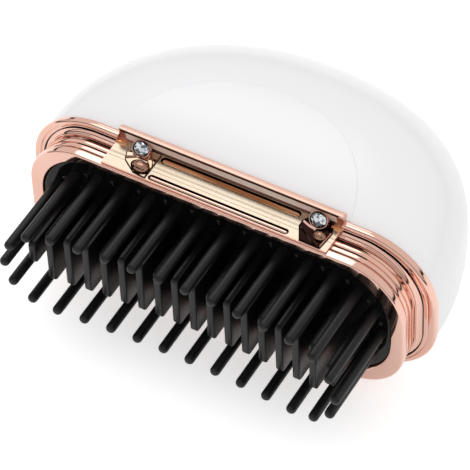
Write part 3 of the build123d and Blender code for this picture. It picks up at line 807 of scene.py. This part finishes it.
class BRUSH_OT_trim(bpy.types.Operator):
    """Build the plated trim ring with its flange, cove, bead and grooves, and the lip ring under it"""

    bl_idname = "brush.trim"
    bl_label = "Trim and lip rings"

    # Painted shade: dark strips in the grooves, in place of shade and dark reflections: share of the way to
    # the flange, growth, lowest and highest height
    painted_shade_lines = (
        (0, -0.31, 20.85, 21.06),
        (0, -0.3, 22.28, 22.54),
        (0, -0.34, 23.95, 24.65),
        (0.42, 0.03, 26.1, 26.32),
    )
    # Bands, grooves and bead of the trim from the lip up: growth and height
    bands = (
        (-0.35, LIP_TOP), (-0.35, 21.08), (-0.1, 21.1), (-0.02, 21.2), (0.02, 21.4), (0.02, 21.95),
        (-0.03, 22.15), (-0.12, 22.24), (-0.35, 22.26), (-0.35, 22.56), (-0.05, 22.58), (0.08, 22.68),
        (0.14, 22.9), (0.15, 23.2), (0.13, 23.5), (0.04, 23.72), (-0.1, 23.8), (-0.35, 23.82),
        (-0.4, 24.2), (-0.35, 24.8),
    )
    # Lip above the notch for the bar: growth and height
    lip_rise = (
        (0.4, NOTCH_BOTTOM), (0.42, 19.2), (0.43, 19.7), (0.42, 20.1), (0.36, 20.4), (0.24, 20.58),
        (0.06, 20.68), (-0.35, 20.7), (-0.35, LIP_TOP),
    )

    def profile(self):
        """Outer face of the trim from the lip up: share of the way to the flange, growth, height."""
        bead = arc(0.1, 25.08, 0.25, -80, 80, 8)
        points = [(0, grow, height) for grow, height in (*self.bands, *bead, (0.0, 25.34))]
        for lean in range(0, 81, 8):
            turn = radians(lean)
            points.append((0.52 * (1 - cos(turn)), 0.0, 25.36 + 1.08 * sin(turn)))
        groove = ((0.5, 0.0), (0.54, 0.12), (0.57, 0.12), (0.6, 0.0))
        points += [(share, 0.0, FLANGE_BOTTOM + rise) for share, rise in groove]
        points += [(1, grow, height) for grow, height in arc(-0.7, FLANGE_BOTTOM + 0.7, 0.7, -90, 0, 9)]
        points += [(1, -0.05, 27.5), (1, -0.12, 28.0)]
        points += [(1, grow, height) for grow, height in arc(-1.02, SEAM - 0.9, 0.9, 10, 90, 9)]
        points += [(1, -2.6, SEAM)]
        return points

    def add_trim(self):
        rings = []
        for share, grow, height in self.profile():
            calm = grow if share == 1 else 0.55 * grow - 0.03
            rings.append(faded_ring(trim_size(share), grow, calm, 29.5, 49.0, height))
        rings += [level(notched(outline(OPENING, 0.0)), height) for height in (SEAM, LIP_TOP)]
        trim = Surface().loft(rings + rings[:1]).build("trim_ring_plated", 24.0)
        settle(trim, rose_plating(), ("trim_ring",))

    def add_painted_shade_lines(self):
        # Painted shade: near-black strips in the trim's grooves and on its cove
        lines = Surface()
        for share, grow, low, high in self.painted_shade_lines:
            rings = []
            for depth, height in ((-0.2, low), (0.0, low), (0.0, high), (-0.2, high)):
                edge = grow + depth
                rings.append(faded_ring(trim_size(share), edge, edge - 0.4, 40.0, 50.0, height))
            lines.loft(rings + rings[:1])
        settle(lines.build("trim_painted_shade_lines", 30.0), umber_plating())

    def add_lip(self):
        rings = [level(outline(OPENING), LIP_TOP), level(outline(OPENING), LIP_BOTTOM + 0.4)]
        for size, rounding in (
            (OPENING, arc(0.4, LIP_BOTTOM + 0.4, 0.4, 180, 270, 6)[1:]),
            (TRIM, arc(-0.02, LIP_BOTTOM + 0.42, 0.42, -90, 0, 8)),
        ):
            rings += [level(outline(size, grow), height) for grow, height in rounding]
        rings.append(level(outline(TRIM, 0.4), NOTCH_BOTTOM))
        rings += [level(notched(outline(TRIM, grow)), height) for grow, height in self.lip_rise]
        lip = Surface().loft(rings + rings[:1]).build("lip_ring_plated", 30.0)
        settle(lip, rose_plating(), ("lip_ring",))

    def execute(self, context):
        self.add_trim()
        self.add_painted_shade_lines()
        self.add_lip()
        return {"FINISHED"}


def stadium(half_length, half_height, height, out):
    """Loop of a long rounded slot on the bar's face."""
    pairs = slot_pairs(half_length - half_height, half_height)
    return [spot(x + RECESS_SHIFT, height + rise, out) for x, rise in pairs]


def grooves(out, half, deep):
    """Fine grooves along the bar's face, as part of a section of (height, out)."""
    section = []
    for height in BAR_GROOVES:
        section += [(height - half, out), (height, deep), (height + half, out)]
    return section


def drawn(section, places, name):
    """Piece with one section of (height, out), drawn along the brush through the given places."""
    ends = [[spot(x, height, out) for height, out in section] for x in places]
    return Surface().loft(ends, True).build(name, BAR_CREASE)


class BRUSH_OT_bar(bpy.types.Operator):
    """Build the buckle bar with its flange, recesses and ridges"""

    bl_idname = "brush.bar"
    bl_label = "Buckle bar"

    # Painted shade: thin dark round strips along the bar's front edge and the corner under it, in place of
    # shade and dark reflections: height, out, start, end, radius
    painted_shade_rods = ((27.0, 23.3, -28.9, 28.3, 0.2), (27.62, 20.4, -25.0, 27.0, 0.11))

    def profile(self):
        """Section of the bar as (height, out), starting at its back."""
        points = [(BAR_BOTTOM, 19.0), (BAR_BOTTOM, 19.98), (BAR_BOTTOM + 0.1, BAR_FACE)]
        points += grooves(BAR_FACE, 0.07, BAR_FACE - 0.07)
        points += [(27.42, BAR_FACE), (27.55, BAR_FACE - 0.2), (27.68, BAR_FACE + 0.1), (27.62, 20.7)]
        points += [(27.5, 21.6), (27.3, 22.5), (27.12, 22.9)]
        points += [(height, out) for out, height in arc(BAR_FRONT - 0.45, BAR_UNDER + 0.45, 0.45, -90, 0, 7)]
        points += [(28.2, BAR_FRONT - 0.12)]
        points += [(height, out) for out, height in arc(BAR_FRONT - 0.85, BAR_TOP - 0.6, 0.6, 10, 90, 9)]
        points += [(BAR_TOP, 21.9), (28.7, 21.9), (28.7, 19.0)]
        return points

    def cutters(self):
        """Solids that cut the two long recesses."""
        solids = []
        for height, half in BAR_RECESSES:
            steps = ((half - 0.12, -0.75), (half, -0.55), (half, 0.4))
            loops = [stadium(RECESS_HALF, reach, height, BAR_FACE + lift) for reach, lift in steps]
            solids.append(Surface().loft(loops, True).build("recess"))
        return solids

    def add_bar(self):
        section = self.profile()
        chamfer = 0.18
        inner = BAR_HALF - chamfer
        ends = []
        for x, inset in ((-BAR_HALF, chamfer), (-inner, 0.0), (inner, 0.0), (BAR_HALF, chamfer)):
            low, high, front = BAR_BOTTOM + inset, BAR_TOP - inset, BAR_FRONT - inset
            ends.append([spot(x, min(max(height, low), high), min(out, front)) for height, out in section])
        bar = Surface().loft(ends, True).build("buckle_bar_plated", BAR_CREASE)
        cut(bar, self.cutters(), BAR_CREASE)
        settle(bar, plated("rose_soft", colours().rose, rough=0.34), ("buckle_bar",))

    def add_plates(self):
        """Painted shade and painted light: a dimmer cream plate on the bar's face, which tones down its
        bright reflection, and a pale satin plate under its flange, which stays light in the flange's shade.
        """
        front, back = BAR_FACE + 0.03, BAR_FACE - 0.1
        section = [(19.13, back), (19.15, front)] + grooves(front, 0.06, BAR_FACE - 0.04)
        section += [(27.34, front), (27.36, back)]
        # Painted shade: the face plate is a dimmer cream copy of the plating
        face = drawn(section, (0.4 - BAR_HALF, 0.0, BAR_HALF - 0.4), "bar_face_painted_shade")
        cut(face, self.cutters(), BAR_CREASE)
        settle(face, plated("cream_plating", (0.45, 0.385, 0.305), rough=0.2))
        # Painted light: the underside plate is a pale pink matt copy of the plating that stays light in the
        # flange's shade
        section = [(27.66, 20.6), (27.52, 20.56), (27.4, 21.6), (27.22, 22.5), (27.07, 22.85), (27.3, 22.9)]
        painted_light_soffit = drawn(section, (-27.5, 0.0, 27.5), "bar_underside_painted_light")
        satin = satin_plastic("painted_light_satin", (0.97, 0.7, 0.6), rough=0.3, grain=1800.0, depth=0.00001)
        settle(painted_light_soffit, satin)

    def add_painted_shade_lines(self):
        """Painted shade: a dark coat inside the recesses and thin dark round strips along the bar's edges,
        in place of shade and dark reflections.
        """
        painted_shade_lining = Surface()
        for height, half in BAR_RECESSES:
            rings = []
            for grow, lift in ((0.1, -0.7), (0.1, 0.02), (-0.05, 0.02), (-0.14, -0.5)):
                rings.append(stadium(RECESS_HALF + grow, half + grow, height, BAR_FACE + lift))
            painted_shade_lining.loft(rings, True)
        for height, out, start, end, radius in self.painted_shade_rods:
            ends = []
            for x, share in ((start, 0.3), (start + 0.3, 1.0), (end - 0.3, 1.0), (end, 0.3)):
                circle = arc(out, height, radius * share, 0, 330, 11)
                ends.append([spot(x, across, off) for off, across in circle])
            painted_shade_lining.loft(ends, True)
        settle(painted_shade_lining.build("bar_painted_shade_lines", 40.0), umber_plating())

    def add_ridges(self):
        """Rounded ridge that lies in each recess."""
        for word, height, half, top, flat, material in (
            ("upper", 25.95, 0.76, -0.15, 0.45, brushed_gold()),
            ("lower", 20.12, 0.46, 0.0, 0.9, rose_plating()),
        ):
            rings = [stadium(RIDGE_HALF, half, height, BAR_FACE - 0.9)]
            for lean in range(0, 91, 10):
                turn = radians(lean)
                shrink = half * (1 - cos(turn)) * flat
                face = BAR_FACE + top - 0.35 + 0.35 * sin(turn)
                rings.append(stadium(RIDGE_HALF - shrink, half - shrink, height, face))
            ridge = Surface().loft(rings, True).build(f"bar_ridge_{word}", 60.0)
            settle(ridge, material)

    def execute(self, context):
        self.add_bar()
        self.add_plates()
        self.add_painted_shade_lines()
        self.add_ridges()
        return {"FINISHED"}


def stone_frame(side):
    """Function that places a point given in a stone's own frame, in millimetres."""
    tilt = radians(STONE_TILT)
    lean = radians(STONE_LEAN)
    normal = Vector((0.0, -sin(tilt), cos(tilt)))
    upward = Vector((0.0, cos(tilt), sin(tilt)))
    along = Vector((1.0, 0.0, 0.0))
    long_way = (along * cos(lean) - upward * sin(lean)) * STONE_LONG * MM
    short_way = (along * sin(lean) + upward * cos(lean)) * MM
    origin = spot(side * STONE_X + STONE_SHIFT, STONE_HEIGHT, STONE_OUT)

    def place(x, y, z):
        return origin + long_way * x + short_way * y + normal * (z * MM)

    return place


def bulge(base, height):
    """Rounded top of a turned moulding, as (share of its radius, along)."""
    return [(reach, base + rise * height) for reach, rise in arc(0.0, 0.0, 1.0, 10, 85, 7)]


class BRUSH_OT_bar_ends(bpy.types.Operator):
    """Build the oval orange mouldings on the bar's face near its ends"""

    bl_idname = "brush.bar_ends"
    bl_label = "Bar end mouldings"

    def execute(self, context):
        material = brown_lens("orange_moulding", (0.72, 0.36, 0.18))
        for side, word in ((-1, "left"), (1, "right")):

            def place(reach, along, turn, side=side):
                run, rise = 1.7 * reach * cos(turn), 0.85 * reach * sin(turn)
                return spot(side * (28.1 + run), 26.3 + rise, BAR_FACE - 0.1 + along)

            profile = [(1.0, -0.3), (1.0, 0.0)] + bulge(0.0, 0.55)
            moulding = Surface().turned(place, profile, 28).build(f"bar_end_moulding_{word}", 50.0)
            settle(moulding, material)
        return {"FINISHED"}


class BRUSH_OT_stones(bpy.types.Operator):
    """Build the cut stones, their bezels and the faceted clasps under them"""

    bl_idname = "brush.stones"
    bl_label = "Stones, bezels and clasps"

    # Painted shade: dark ring round a stone, in place of the shade and dark outline round it: radius and
    # height
    painted_shade_ring = ((1.66, -0.2), (1.66, 0.3), (1.7, 0.4), (1.76, 0.42), (1.82, 0.36), (1.84, 0.2), (1.84, -0.2))

    def stone(self, place, name):
        """Cut stone: the hull of rings of corners, from its table down, and a point at its foot."""
        facets = sizes().stone_facets
        work = bmesh.new()
        for count, radius, height, twist in (
            (facets, 0.95, 1.0, 0.0),
            (facets, 1.4, 0.75, 0.5),
            (2 * facets, 1.7, 0.38, 0.25),
            (2 * facets, 1.7, 0.2, 0.25),
        ):
            for step in range(count):
                turn = 2 * pi * (step + twist) / count
                work.verts.new(place(radius * cos(turn), radius * sin(turn), height))
        work.verts.new(place(0.0, 0.0, -0.1))
        bmesh.ops.convex_hull(work, input=work.verts)
        mesh = bpy.data.meshes.new(name)
        work.to_mesh(mesh)
        work.free()
        return linked(name, mesh)

    def execute(self, context):
        stone_material = stone_finish("cut_stone", colours().stone)
        radius = sizes().bezel_radius / MM
        for side, word in ((-1, "left"), (1, "right")):
            place = stone_frame(side)
            stone = self.stone(place, f"cut_stone_{word}")
            settle(stone, stone_material, (f"crystal_{word}",))

            def round_place(reach, along, turn):
                return place(reach * cos(turn), reach * sin(turn), along)

            # Painted shade: dark ring round the stone
            painted_shade_ring = Surface().turned(round_place, self.painted_shade_ring, 64).build(f"stone_painted_shade_ring_{word}", 35.0)
            settle(painted_shade_ring, umber_plating())
            profile = [(1.8, -0.1), (1.8, 0.24)] + arc(radius - 0.1, 0.26, 0.1, 180, 0, 6)
            profile += [(radius, 0.1), (radius - 0.05, -0.1), (radius - 0.02, -0.25), (radius, -1.0)]
            bezel = Surface().turned(round_place, profile, 64).build(f"stone_bezel_{word}", 35.0)
            settle(bezel, rose_plating(), (f"bezel_{word}",))

            self.clasp(word)
        return {"FINISHED"}

    def ribs(self, surface, path, half, lift, rise):
        """Ridge along a path of (x, height) places on the bar's face."""
        loops = []
        for index, (x, height) in enumerate(path):
            before, after = path[max(index - 1, 0)], path[min(index + 1, len(path) - 1)]
            run, climb = after[0] - before[0], after[1] - before[1]
            size = hypot(run, climb) / half
            across, up = -climb / size, run / size
            corners = ((across, up, 0.0), (0.0, 0.0, rise), (-across, -up, 0.0), (0.0, 0.0, -rise))
            loops.append([spot(x + a, height + b, BAR_FACE + lift + c) for a, b, c in corners])
        surface.loft(loops, True)

    def shield(self, corners, name):
        """Faceted shield on the bar's face, which rises to its middle."""
        count = len(corners)
        middle = [sum(corner[axis] for corner in corners) / count for axis in (0, 1)]

        def loop(share, lift):
            places = [[mid + (part - mid) * share for mid, part in zip(middle, at)] for at in corners]
            return [spot(*place, BAR_FACE + lift) for place in places]

        surface = Surface().loft([loop(1.0, -0.1), loop(1.0, 0.1), loop(0.975, 0.26), loop(0.93, 0.2)])
        front = len(surface.points)
        back = front + 1
        first = front - count
        surface.points += [spot(*middle, BAR_FACE + 0.38), spot(*middle, BAR_FACE - 0.1)]
        for here in range(count):
            beside = (here + 1) % count
            surface.faces += [(first + here, first + beside, front), (beside, here, back)]
        return surface.build(name, 5.0)

    def clasp(self, word):
        """Shield under a stone, with facets, thin ribs and a lens on it."""
        made = CLASPS[word]
        corners = made["shield"]
        shield = self.shield(corners, f"clasp_frame_{word}")
        # Painted reflection: the shield takes the clasp's listed colour, light brown on the left and near
        # black on the right
        material = brown_lens(f"clasp_{word}_plating", made["colour"])
        settle(shield, material, (f"clasp_{word}",))

        # Painted shade: near-black rib round the shield's edge
        surface = Surface()
        self.ribs(surface, corners + corners[:2], made["edge"], 0.2, 0.12)
        settle(surface.build(f"clasp_painted_shade_edge_{word}", 20.0), umber_plating())
        surface = Surface()
        for path, half in made["ribs"]:
            self.ribs(surface, path, half, 0.36, 0.4)
        settle(surface.build(f"clasp_ribs_{word}", 20.0), rose_plating())

        x, height, long_half, short_half, lean = made["lens"]
        cosine, sine = cos(radians(lean)), sin(radians(lean))

        def place(reach, along, turn):
            run, rise = long_half * reach * cos(turn), short_half * reach * sin(turn)
            up = height - run * sine + rise * cosine
            return spot(x + run * cosine + rise * sine, up, BAR_FACE + along)

        profile = [(1.0, 0.1)] + bulge(0.35, 0.9)
        lens = Surface().turned(place, profile, 16).build(f"clasp_lens_{word}", 8.0)
        settle(lens, brown_lens("brown_lens", (0.34, 0.2, 0.14)))
        # Painted shade: dark ring round the lens
        profile = [(1.0, 0.1), (1.1, 0.3), (1.1, 0.5), (1.02, 0.6), (0.98, 0.45)]
        painted_shade_ring = Surface().turned(place, profile, 32).build(f"clasp_painted_shade_ring_{word}", 30.0)
        settle(painted_shade_ring, umber_plating())


def plate_face(x):
    """Height of the bristle plate's curved face at a place along the brush."""
    return PLATE_LEVEL - x * x / (2 * PLATE_CURVE)


def ring_places(steps, angles):
    """Places on the path of the pins, as (x, out)."""
    end_x = PIN_PITCH * (PINS_PER_ROW - 1) / 2
    places = []
    for side in (-1, 1):
        places += [(step * PIN_PITCH, side * ROW_OUT) for step in steps]
        for angle in angles:
            turn = radians(angle)
            places.append((side * (end_x + ROW_OUT * cos(turn)), ROW_OUT * sin(turn)))
    return places


def upright(x, out, base=0.0):
    """Function that places a point round an axis standing on the plate."""

    def place(reach, along, turn):
        return spot(x + reach * cos(turn), base + along, out + reach * sin(turn))

    return place


class BRUSH_OT_plate(bpy.types.Operator):
    """Build the curved bristle plate with its studs"""

    bl_idname = "brush.plate"
    bl_label = "Bristle plate"

    def execute(self, context):
        edge = outline(OPENING, -0.15)
        rings = [[spot(x, PLATE_BACK, out) for x, out in edge]]
        rings.append([spot(x, plate_face(x) + 0.25, out) for x, out in edge])
        for share in (0.997, 0.99, 0.97, 0.93, 0.88, 0.8, 0.7, 0.6, 0.5, 0.4, 0.3, 0.2, 0.1, 0.03):
            dip = 0.25 * max(0.0, (share - 0.99) / 0.01) ** 2
            rings.append([spot(x * share, plate_face(x * share) + dip, out * share) for x, out in edge])
        surface = Surface().loft(rings, True)
        radius = sizes().stud_radius / MM
        height = sizes().stud_height / MM
        profile = [(radius, 0.4), (radius, -0.02)]
        profile += [(radius * reach, -rise * height) for reach, rise in arc(0.0, 0.0, 1.0, 15, 90, 6)]
        steps = [step - (PINS_PER_ROW - 2) / 2 for step in range(PINS_PER_ROW - 1)]
        for x, out in ring_places(steps, [15 + 30 * step - 90 for step in range(6)]):
            surface.turned(upright(x, out, plate_face(x)), profile, 20)
        plate = surface.build("bristle_plate_gloss", 35.0)
        material = gloss_plastic("black_gloss", colours().plate, rough=0.06, specular=0.2, wave=0.00003)
        settle(plate, material, ("bristle_plate",))
        return {"FINISHED"}


class BRUSH_OT_pins(bpy.types.Operator):
    """Build the guard pins round the fins, with softly rounded tips"""

    bl_idname = "brush.pins"
    bl_label = "Guard pins"

    def execute(self, context):
        surface = Surface()
        radius = sizes().pin_radius / MM
        power = sizes().pin_roundness
        half_steps = [step - (PINS_PER_ROW - 1) / 2 for step in range(PINS_PER_ROW)]
        for x, out in ring_places(half_steps, [30 * step - 60 for step in range(5)]):
            tip = TIP_LEVEL - x * x / (2 * TIP_CURVE)
            face = plate_face(x)
            profile = [(radius * 1.02, face + 1.0), (radius * 1.02, face - 0.1)]
            profile += [(radius * 1.012, face - 3.0), (radius, tip + 6.0)]
            for step in range(9):
                lean = radians(90 * step / 8)
                reach = max(cos(lean), 0.0) ** (2 / power)
                profile.append((radius * max(reach, 0.02), tip + radius * (1 - sin(lean) ** (2 / power))))
            surface.turned(upright(x, out), profile, 28)
        pins = surface.build("guard_pins_satin", 50.0)
        fine = {"rough": 0.38, "grain": 3200.0, "depth": 0.00001, "specular": 0.3}
        material = satin_plastic("pin_satin", colours().pin, **fine)
        settle(pins, material, ("guard_pins",))
        return {"FINISHED"}


class BRUSH_OT_fins(bpy.types.Operator):
    """Build the flat heating fins with rounded corners and softened edges"""

    bl_idname = "brush.fins"
    bl_label = "Heating fins"

    def blade(self, x, inset):
        """Loop of a fin's flat side as (height, out), drawn in by an inset."""
        tip = FIN_SETBACK - x * x / (2 * TIP_CURVE) + inset
        last = abs(x) > FIN_PITCH * (FIN_COUNT / 2 - 1)
        reach = (END_FIN_REACH if last else FIN_REACH) - inset
        corner = FIN_CORNER - inset
        loop = [(FIN_FOOT, -reach), (FIN_FOOT, reach)]
        loop += arc(tip + corner, reach - corner, corner, 90, 180, 6)
        loop += arc(tip + corner, -reach + corner, corner, 180, 270, 6)
        return loop

    def execute(self, context):
        surface = Surface()
        half = sizes().fin_thickness / MM / 2
        leans = (0, 30, 60, 90)
        for count in range(FIN_COUNT):
            x = (count - (FIN_COUNT - 1) / 2) * FIN_PITCH
            rings = []
            for side, way in ((-1, leans), (1, leans[::-1])):
                for turn in map(radians, way):
                    across = side * (half - FIN_EDGE + FIN_EDGE * cos(turn))
                    loop = self.blade(x, FIN_EDGE * (1 - sin(turn)))
                    rings.append([spot(x + across, height, out) for height, out in loop])
            surface.loft(rings, True)
        fins = surface.build("heating_fins_coated", 40.0)
        settle(fins, coated_metal("fin_coat", colours().fin), ("heating_fins",))
        return {"FINISHED"}


class BRUSH_OT_controls(bpy.types.Operator):
    """Build the power button and finish the socket, lamp and light pipe of the left end"""

    bl_idname = "brush.controls"
    bl_label = "Button, socket and lamp"

    def execute(self, context):
        place = left_end(BUTTON_HEIGHT, BUTTON_OUT)
        profile = [(4.2, 46.9), (4.2, 51.5)]
        profile += [(reach, along) for along, reach in arc(51.55, 3.55, 0.65, 90, 0, 6)]
        profile += [(3.0, 52.12), (2.4, 52.0), (1.2, 51.9), (0.3, 51.88)]
        cap = Surface().turned(place, profile, 64).build("power_button_cap", 35.0)
        settle(cap, white_gloss(), body=BUTTON)
        profile = [(4.9, 46.0), (4.9, 46.7), (4.8, 46.8), (4.1, 46.95)]
        collar = Surface().turned(place, profile, 64).build("power_button_collar", 35.0)
        settle(collar, white_gloss(), ("power_button",), BUTTON)
        lamp = clear_finish("lamp_clear", (0.9, 0.97, 0.92))
        dress("status_led", lamp)
        dress("light_pipe", lamp)
        dress("usb_socket", metal("socket_steel", (0.62, 0.62, 0.63), 0.22))
        return {"FINISHED"}


class BRUSH_OT_inside(bpy.types.Operator):
    """Finish the pieces inside the dome: heater, frame, board, battery and screws"""

    bl_idname = "brush.inside"
    bl_label = "Inner pieces"

    def execute(self, context):
        steel = metal("stamped_steel", (0.58, 0.58, 0.6), 0.28)
        frame_plastic = satin_plastic("frame_plastic", (0.035, 0.035, 0.038), rough=0.5)
        chip = satin_plastic("chip_case", (0.012, 0.012, 0.012), rough=0.55)
        finishes = {
            "plate_seal": rubber("seal_rubber", (0.02, 0.02, 0.02)),
            "heater_base": metal("heater_metal", (0.75, 0.76, 0.77), 0.34),
            "ptc_heaters": satin_plastic("heater_ceramic", (0.62, 0.6, 0.55), rough=0.7, depth=0.00006),
            "insulation_sheet": gloss_plastic("amber_film", (0.55, 0.2, 0.02), rough=0.2),
            "thermistor": gloss_plastic("sensor_dip", (0.3, 0.05, 0.01), rough=0.25),
            "heater_leads": rubber("lead_sleeve", (0.35, 0.01, 0.01)),
            "control_board": board_finish("board_green", (0.01, 0.09, 0.03)),
            "battery_cell_front": gloss_plastic("cell_sleeve", (0.03, 0.11, 0.3), rough=0.25),
            "inner_frame": frame_plastic,
            "battery_holder": frame_plastic,
            "switch_plunger": frame_plastic,
            "board_chips": chip,
            "tact_switch": chip,
        }
        finishes["battery_cell_rear"] = finishes["battery_cell_front"]
        for node in ("heater_clamp", "thermal_fuse", "battery_contacts"):
            finishes[node] = steel
        for place in ("frame", "plate", "holder", "heater"):
            finishes[f"{place}_screws"] = steel
        for node, material in finishes.items():
            dress(node, material)
        return {"FINISHED"}


# Stage


class BRUSH_OT_stage(bpy.types.Operator):
    """Set the pale floor, the soft studio light and the camera"""

    bl_idname = "brush.stage"
    bl_label = "Stage"

    # Camera: direction and roll in degrees, distance in metres, lens and aimed place in millimetres
    azimuth = 31.555
    elevation = 49.001
    roll = -2.755
    distance = 0.805
    lens = 269.35
    aim = (3.287, 23.0, 7.848)

    def add_camera(self, context):
        data = bpy.data.cameras.new("camera")
        data.sensor_width = 36.0
        data.lens = self.lens
        data.clip_start = 0.01
        data.clip_end = 20.0
        camera = linked("camera", data)
        turn, lift, lean = (radians(angle) for angle in (self.azimuth, self.elevation, self.roll))
        back = Vector((sin(turn) * cos(lift), -cos(turn) * cos(lift), sin(lift)))
        right = Vector((cos(turn), sin(turn), 0.0))
        up = back.cross(right)
        across = right * cos(lean) + up * sin(lean)
        upward = up * cos(lean) - right * sin(lean)
        place = Matrix((across, upward, back)).transposed().to_4x4()
        place.translation = spot(*self.aim) + back * self.distance
        camera.matrix_world = place
        context.scene.camera = camera

    def add_floor(self):
        span = 3.0
        corners = ((-span, -span, 0.0), (span, -span, 0.0), (span, span, 0.0), (-span, span, 0.0))
        mesh = bpy.data.meshes.new("floor")
        mesh.from_pydata(corners, [], [(0, 1, 2, 3)])
        floor = linked("floor", mesh)
        finish = new_finish("floor_paper")
        grain = finish.noise(900.0, 3.0)
        path = finish.node("ShaderNodeLightPath")
        camera, glossy = finish.wires(path, "Is Camera Ray", "Is Glossy Ray")
        seen = camera.most(glossy * 0.7)
        material = finish.surface(
            base_color=finish.blend(grain, (0.86, 0.86, 0.86), (0.89, 0.89, 0.89)),
            roughness=0.75 + grain * 0.1,
            specular_ior_level=0.1,
            normal=finish.bump(grain, 0.1, 0.00003),
            emission_color=finish.blend(seen, (0.0, 0.0, 0.0), (0.5, 0.5, 0.5)),
            emission_strength=1.0,
        )
        floor.data.materials.append(material)

    def add_lamp(self, name, place, size, power):
        data = bpy.data.lights.new(name, "AREA")
        data.shape = "SQUARE"
        data.size = size
        data.energy = power
        lamp = linked(name, data)
        lamp.location = place
        aim = Vector((0.0, 0.0, 0.02)) - Vector(place)
        lamp.rotation_mode = "QUATERNION"
        lamp.rotation_quaternion = aim.to_track_quat("-Z", "Y")
        lamp.visible_glossy = False

    def add_world(self, context):
        world = bpy.data.worlds.new("studio")
        context.scene.world = world
        finish = Finish(world)
        direction = finish.wire("ShaderNodeTexCoord")
        ahead, up = finish.wires(finish.node("ShaderNodeSeparateXYZ", None, {0: direction}), 1, 2)
        camera_side = finish.step(ahead, -0.04, -0.12) * (1.0 - finish.step(ahead, -0.3, -0.42))
        horizon = 1.0 - finish.step(up, 0.06, 0.14)
        open_part = (1.0 - camera_side) * (1.0 - horizon)
        dot = {0: direction, 1: (-0.343, 0.559, 0.755)}
        towards = finish.wire("ShaderNodeVectorMath", {"operation": "DOT_PRODUCT"}, dot, 1)
        softbox = finish.step(towards, cos(radians(16)), cos(radians(12)))
        level_here = 0.02 + open_part * (0.85 + softbox * 1.6)
        # A colour mix stops at white: the room's level is scaled down here and up again in the strength
        room_colour = finish.blend(level_here * 0.4, (0.0, 0.0, 0.0), (1.0, 1.0, 1.0))
        room = finish.wire("ShaderNodeBackground", None, {"Color": room_colour, "Strength": 2.5})
        plain = finish.wire("ShaderNodeBackground", None, {"Color": (1, 1, 1, 1), "Strength": 0.8})
        white = finish.wire("ShaderNodeBackground", None, {"Color": (1, 1, 1, 1), "Strength": 1.0})
        path = finish.node("ShaderNodeLightPath")
        camera, glossy, through = finish.wires(path, "Is Camera Ray", "Is Glossy Ray", "Is Transmission Ray")
        lit = finish.wire("ShaderNodeMixShader", None, {0: glossy, 1: plain, 2: room})
        shown = finish.wire("ShaderNodeMixShader", None, {0: camera.most(through), 1: lit, 2: white})
        finish.node("ShaderNodeOutputWorld", None, {"Surface": shown})

    def execute(self, context):
        self.add_camera(context)
        self.add_floor()
        self.add_lamp("key", (-0.35, 0.25, 0.75), 0.6, 0.8)
        self.add_lamp("fill", (0.5, -0.5, 0.6), 0.5, 0.6)
        self.add_world(context)
        context.scene.view_settings.view_transform = "Standard"
        return {"FINISHED"}


class BRUSH_PT_panel(bpy.types.Panel):
    """Lists the steps that dress the brush"""

    bl_idname = "BRUSH_PT_panel"
    bl_label = "Hair straightening brush"
    bl_space_type = "VIEW_3D"
    bl_region_type = "UI"
    bl_category = "Brush"

    def draw(self, context):
        for step in STEPS:
            self.layout.operator(step.bl_idname)
        for group in (context.scene.brush_sizes, context.scene.brush_colours):
            box = self.layout.box()
            for key in group.__annotations__:
                box.prop(group, key)


STEPS = (
    BRUSH_OT_shell,
    BRUSH_OT_front_inlay,
    BRUSH_OT_rear_pad,
    BRUSH_OT_trim,
    BRUSH_OT_bar,
    BRUSH_OT_bar_ends,
    BRUSH_OT_stones,
    BRUSH_OT_plate,
    BRUSH_OT_pins,
    BRUSH_OT_fins,
    BRUSH_OT_controls,
    BRUSH_OT_inside,
    BRUSH_OT_stage,
)
CLASSES = (BrushSizes, BrushColours, *STEPS, BRUSH_PT_panel)


def register():
    for kind in CLASSES:
        bpy.utils.register_class(kind)
    bpy.types.Scene.brush_sizes = PointerProperty(type=BrushSizes)
    bpy.types.Scene.brush_colours = PointerProperty(type=BrushColours)


def unregister():
    del bpy.types.Scene.brush_colours
    del bpy.types.Scene.brush_sizes
    for kind in reversed(CLASSES):
        bpy.utils.unregister_class(kind)


def main():
    register()
    for step in STEPS:
        group, name = step.bl_idname.split(".")
        getattr(getattr(bpy.ops, group), name)()


if __name__ == "__main__":
    main()
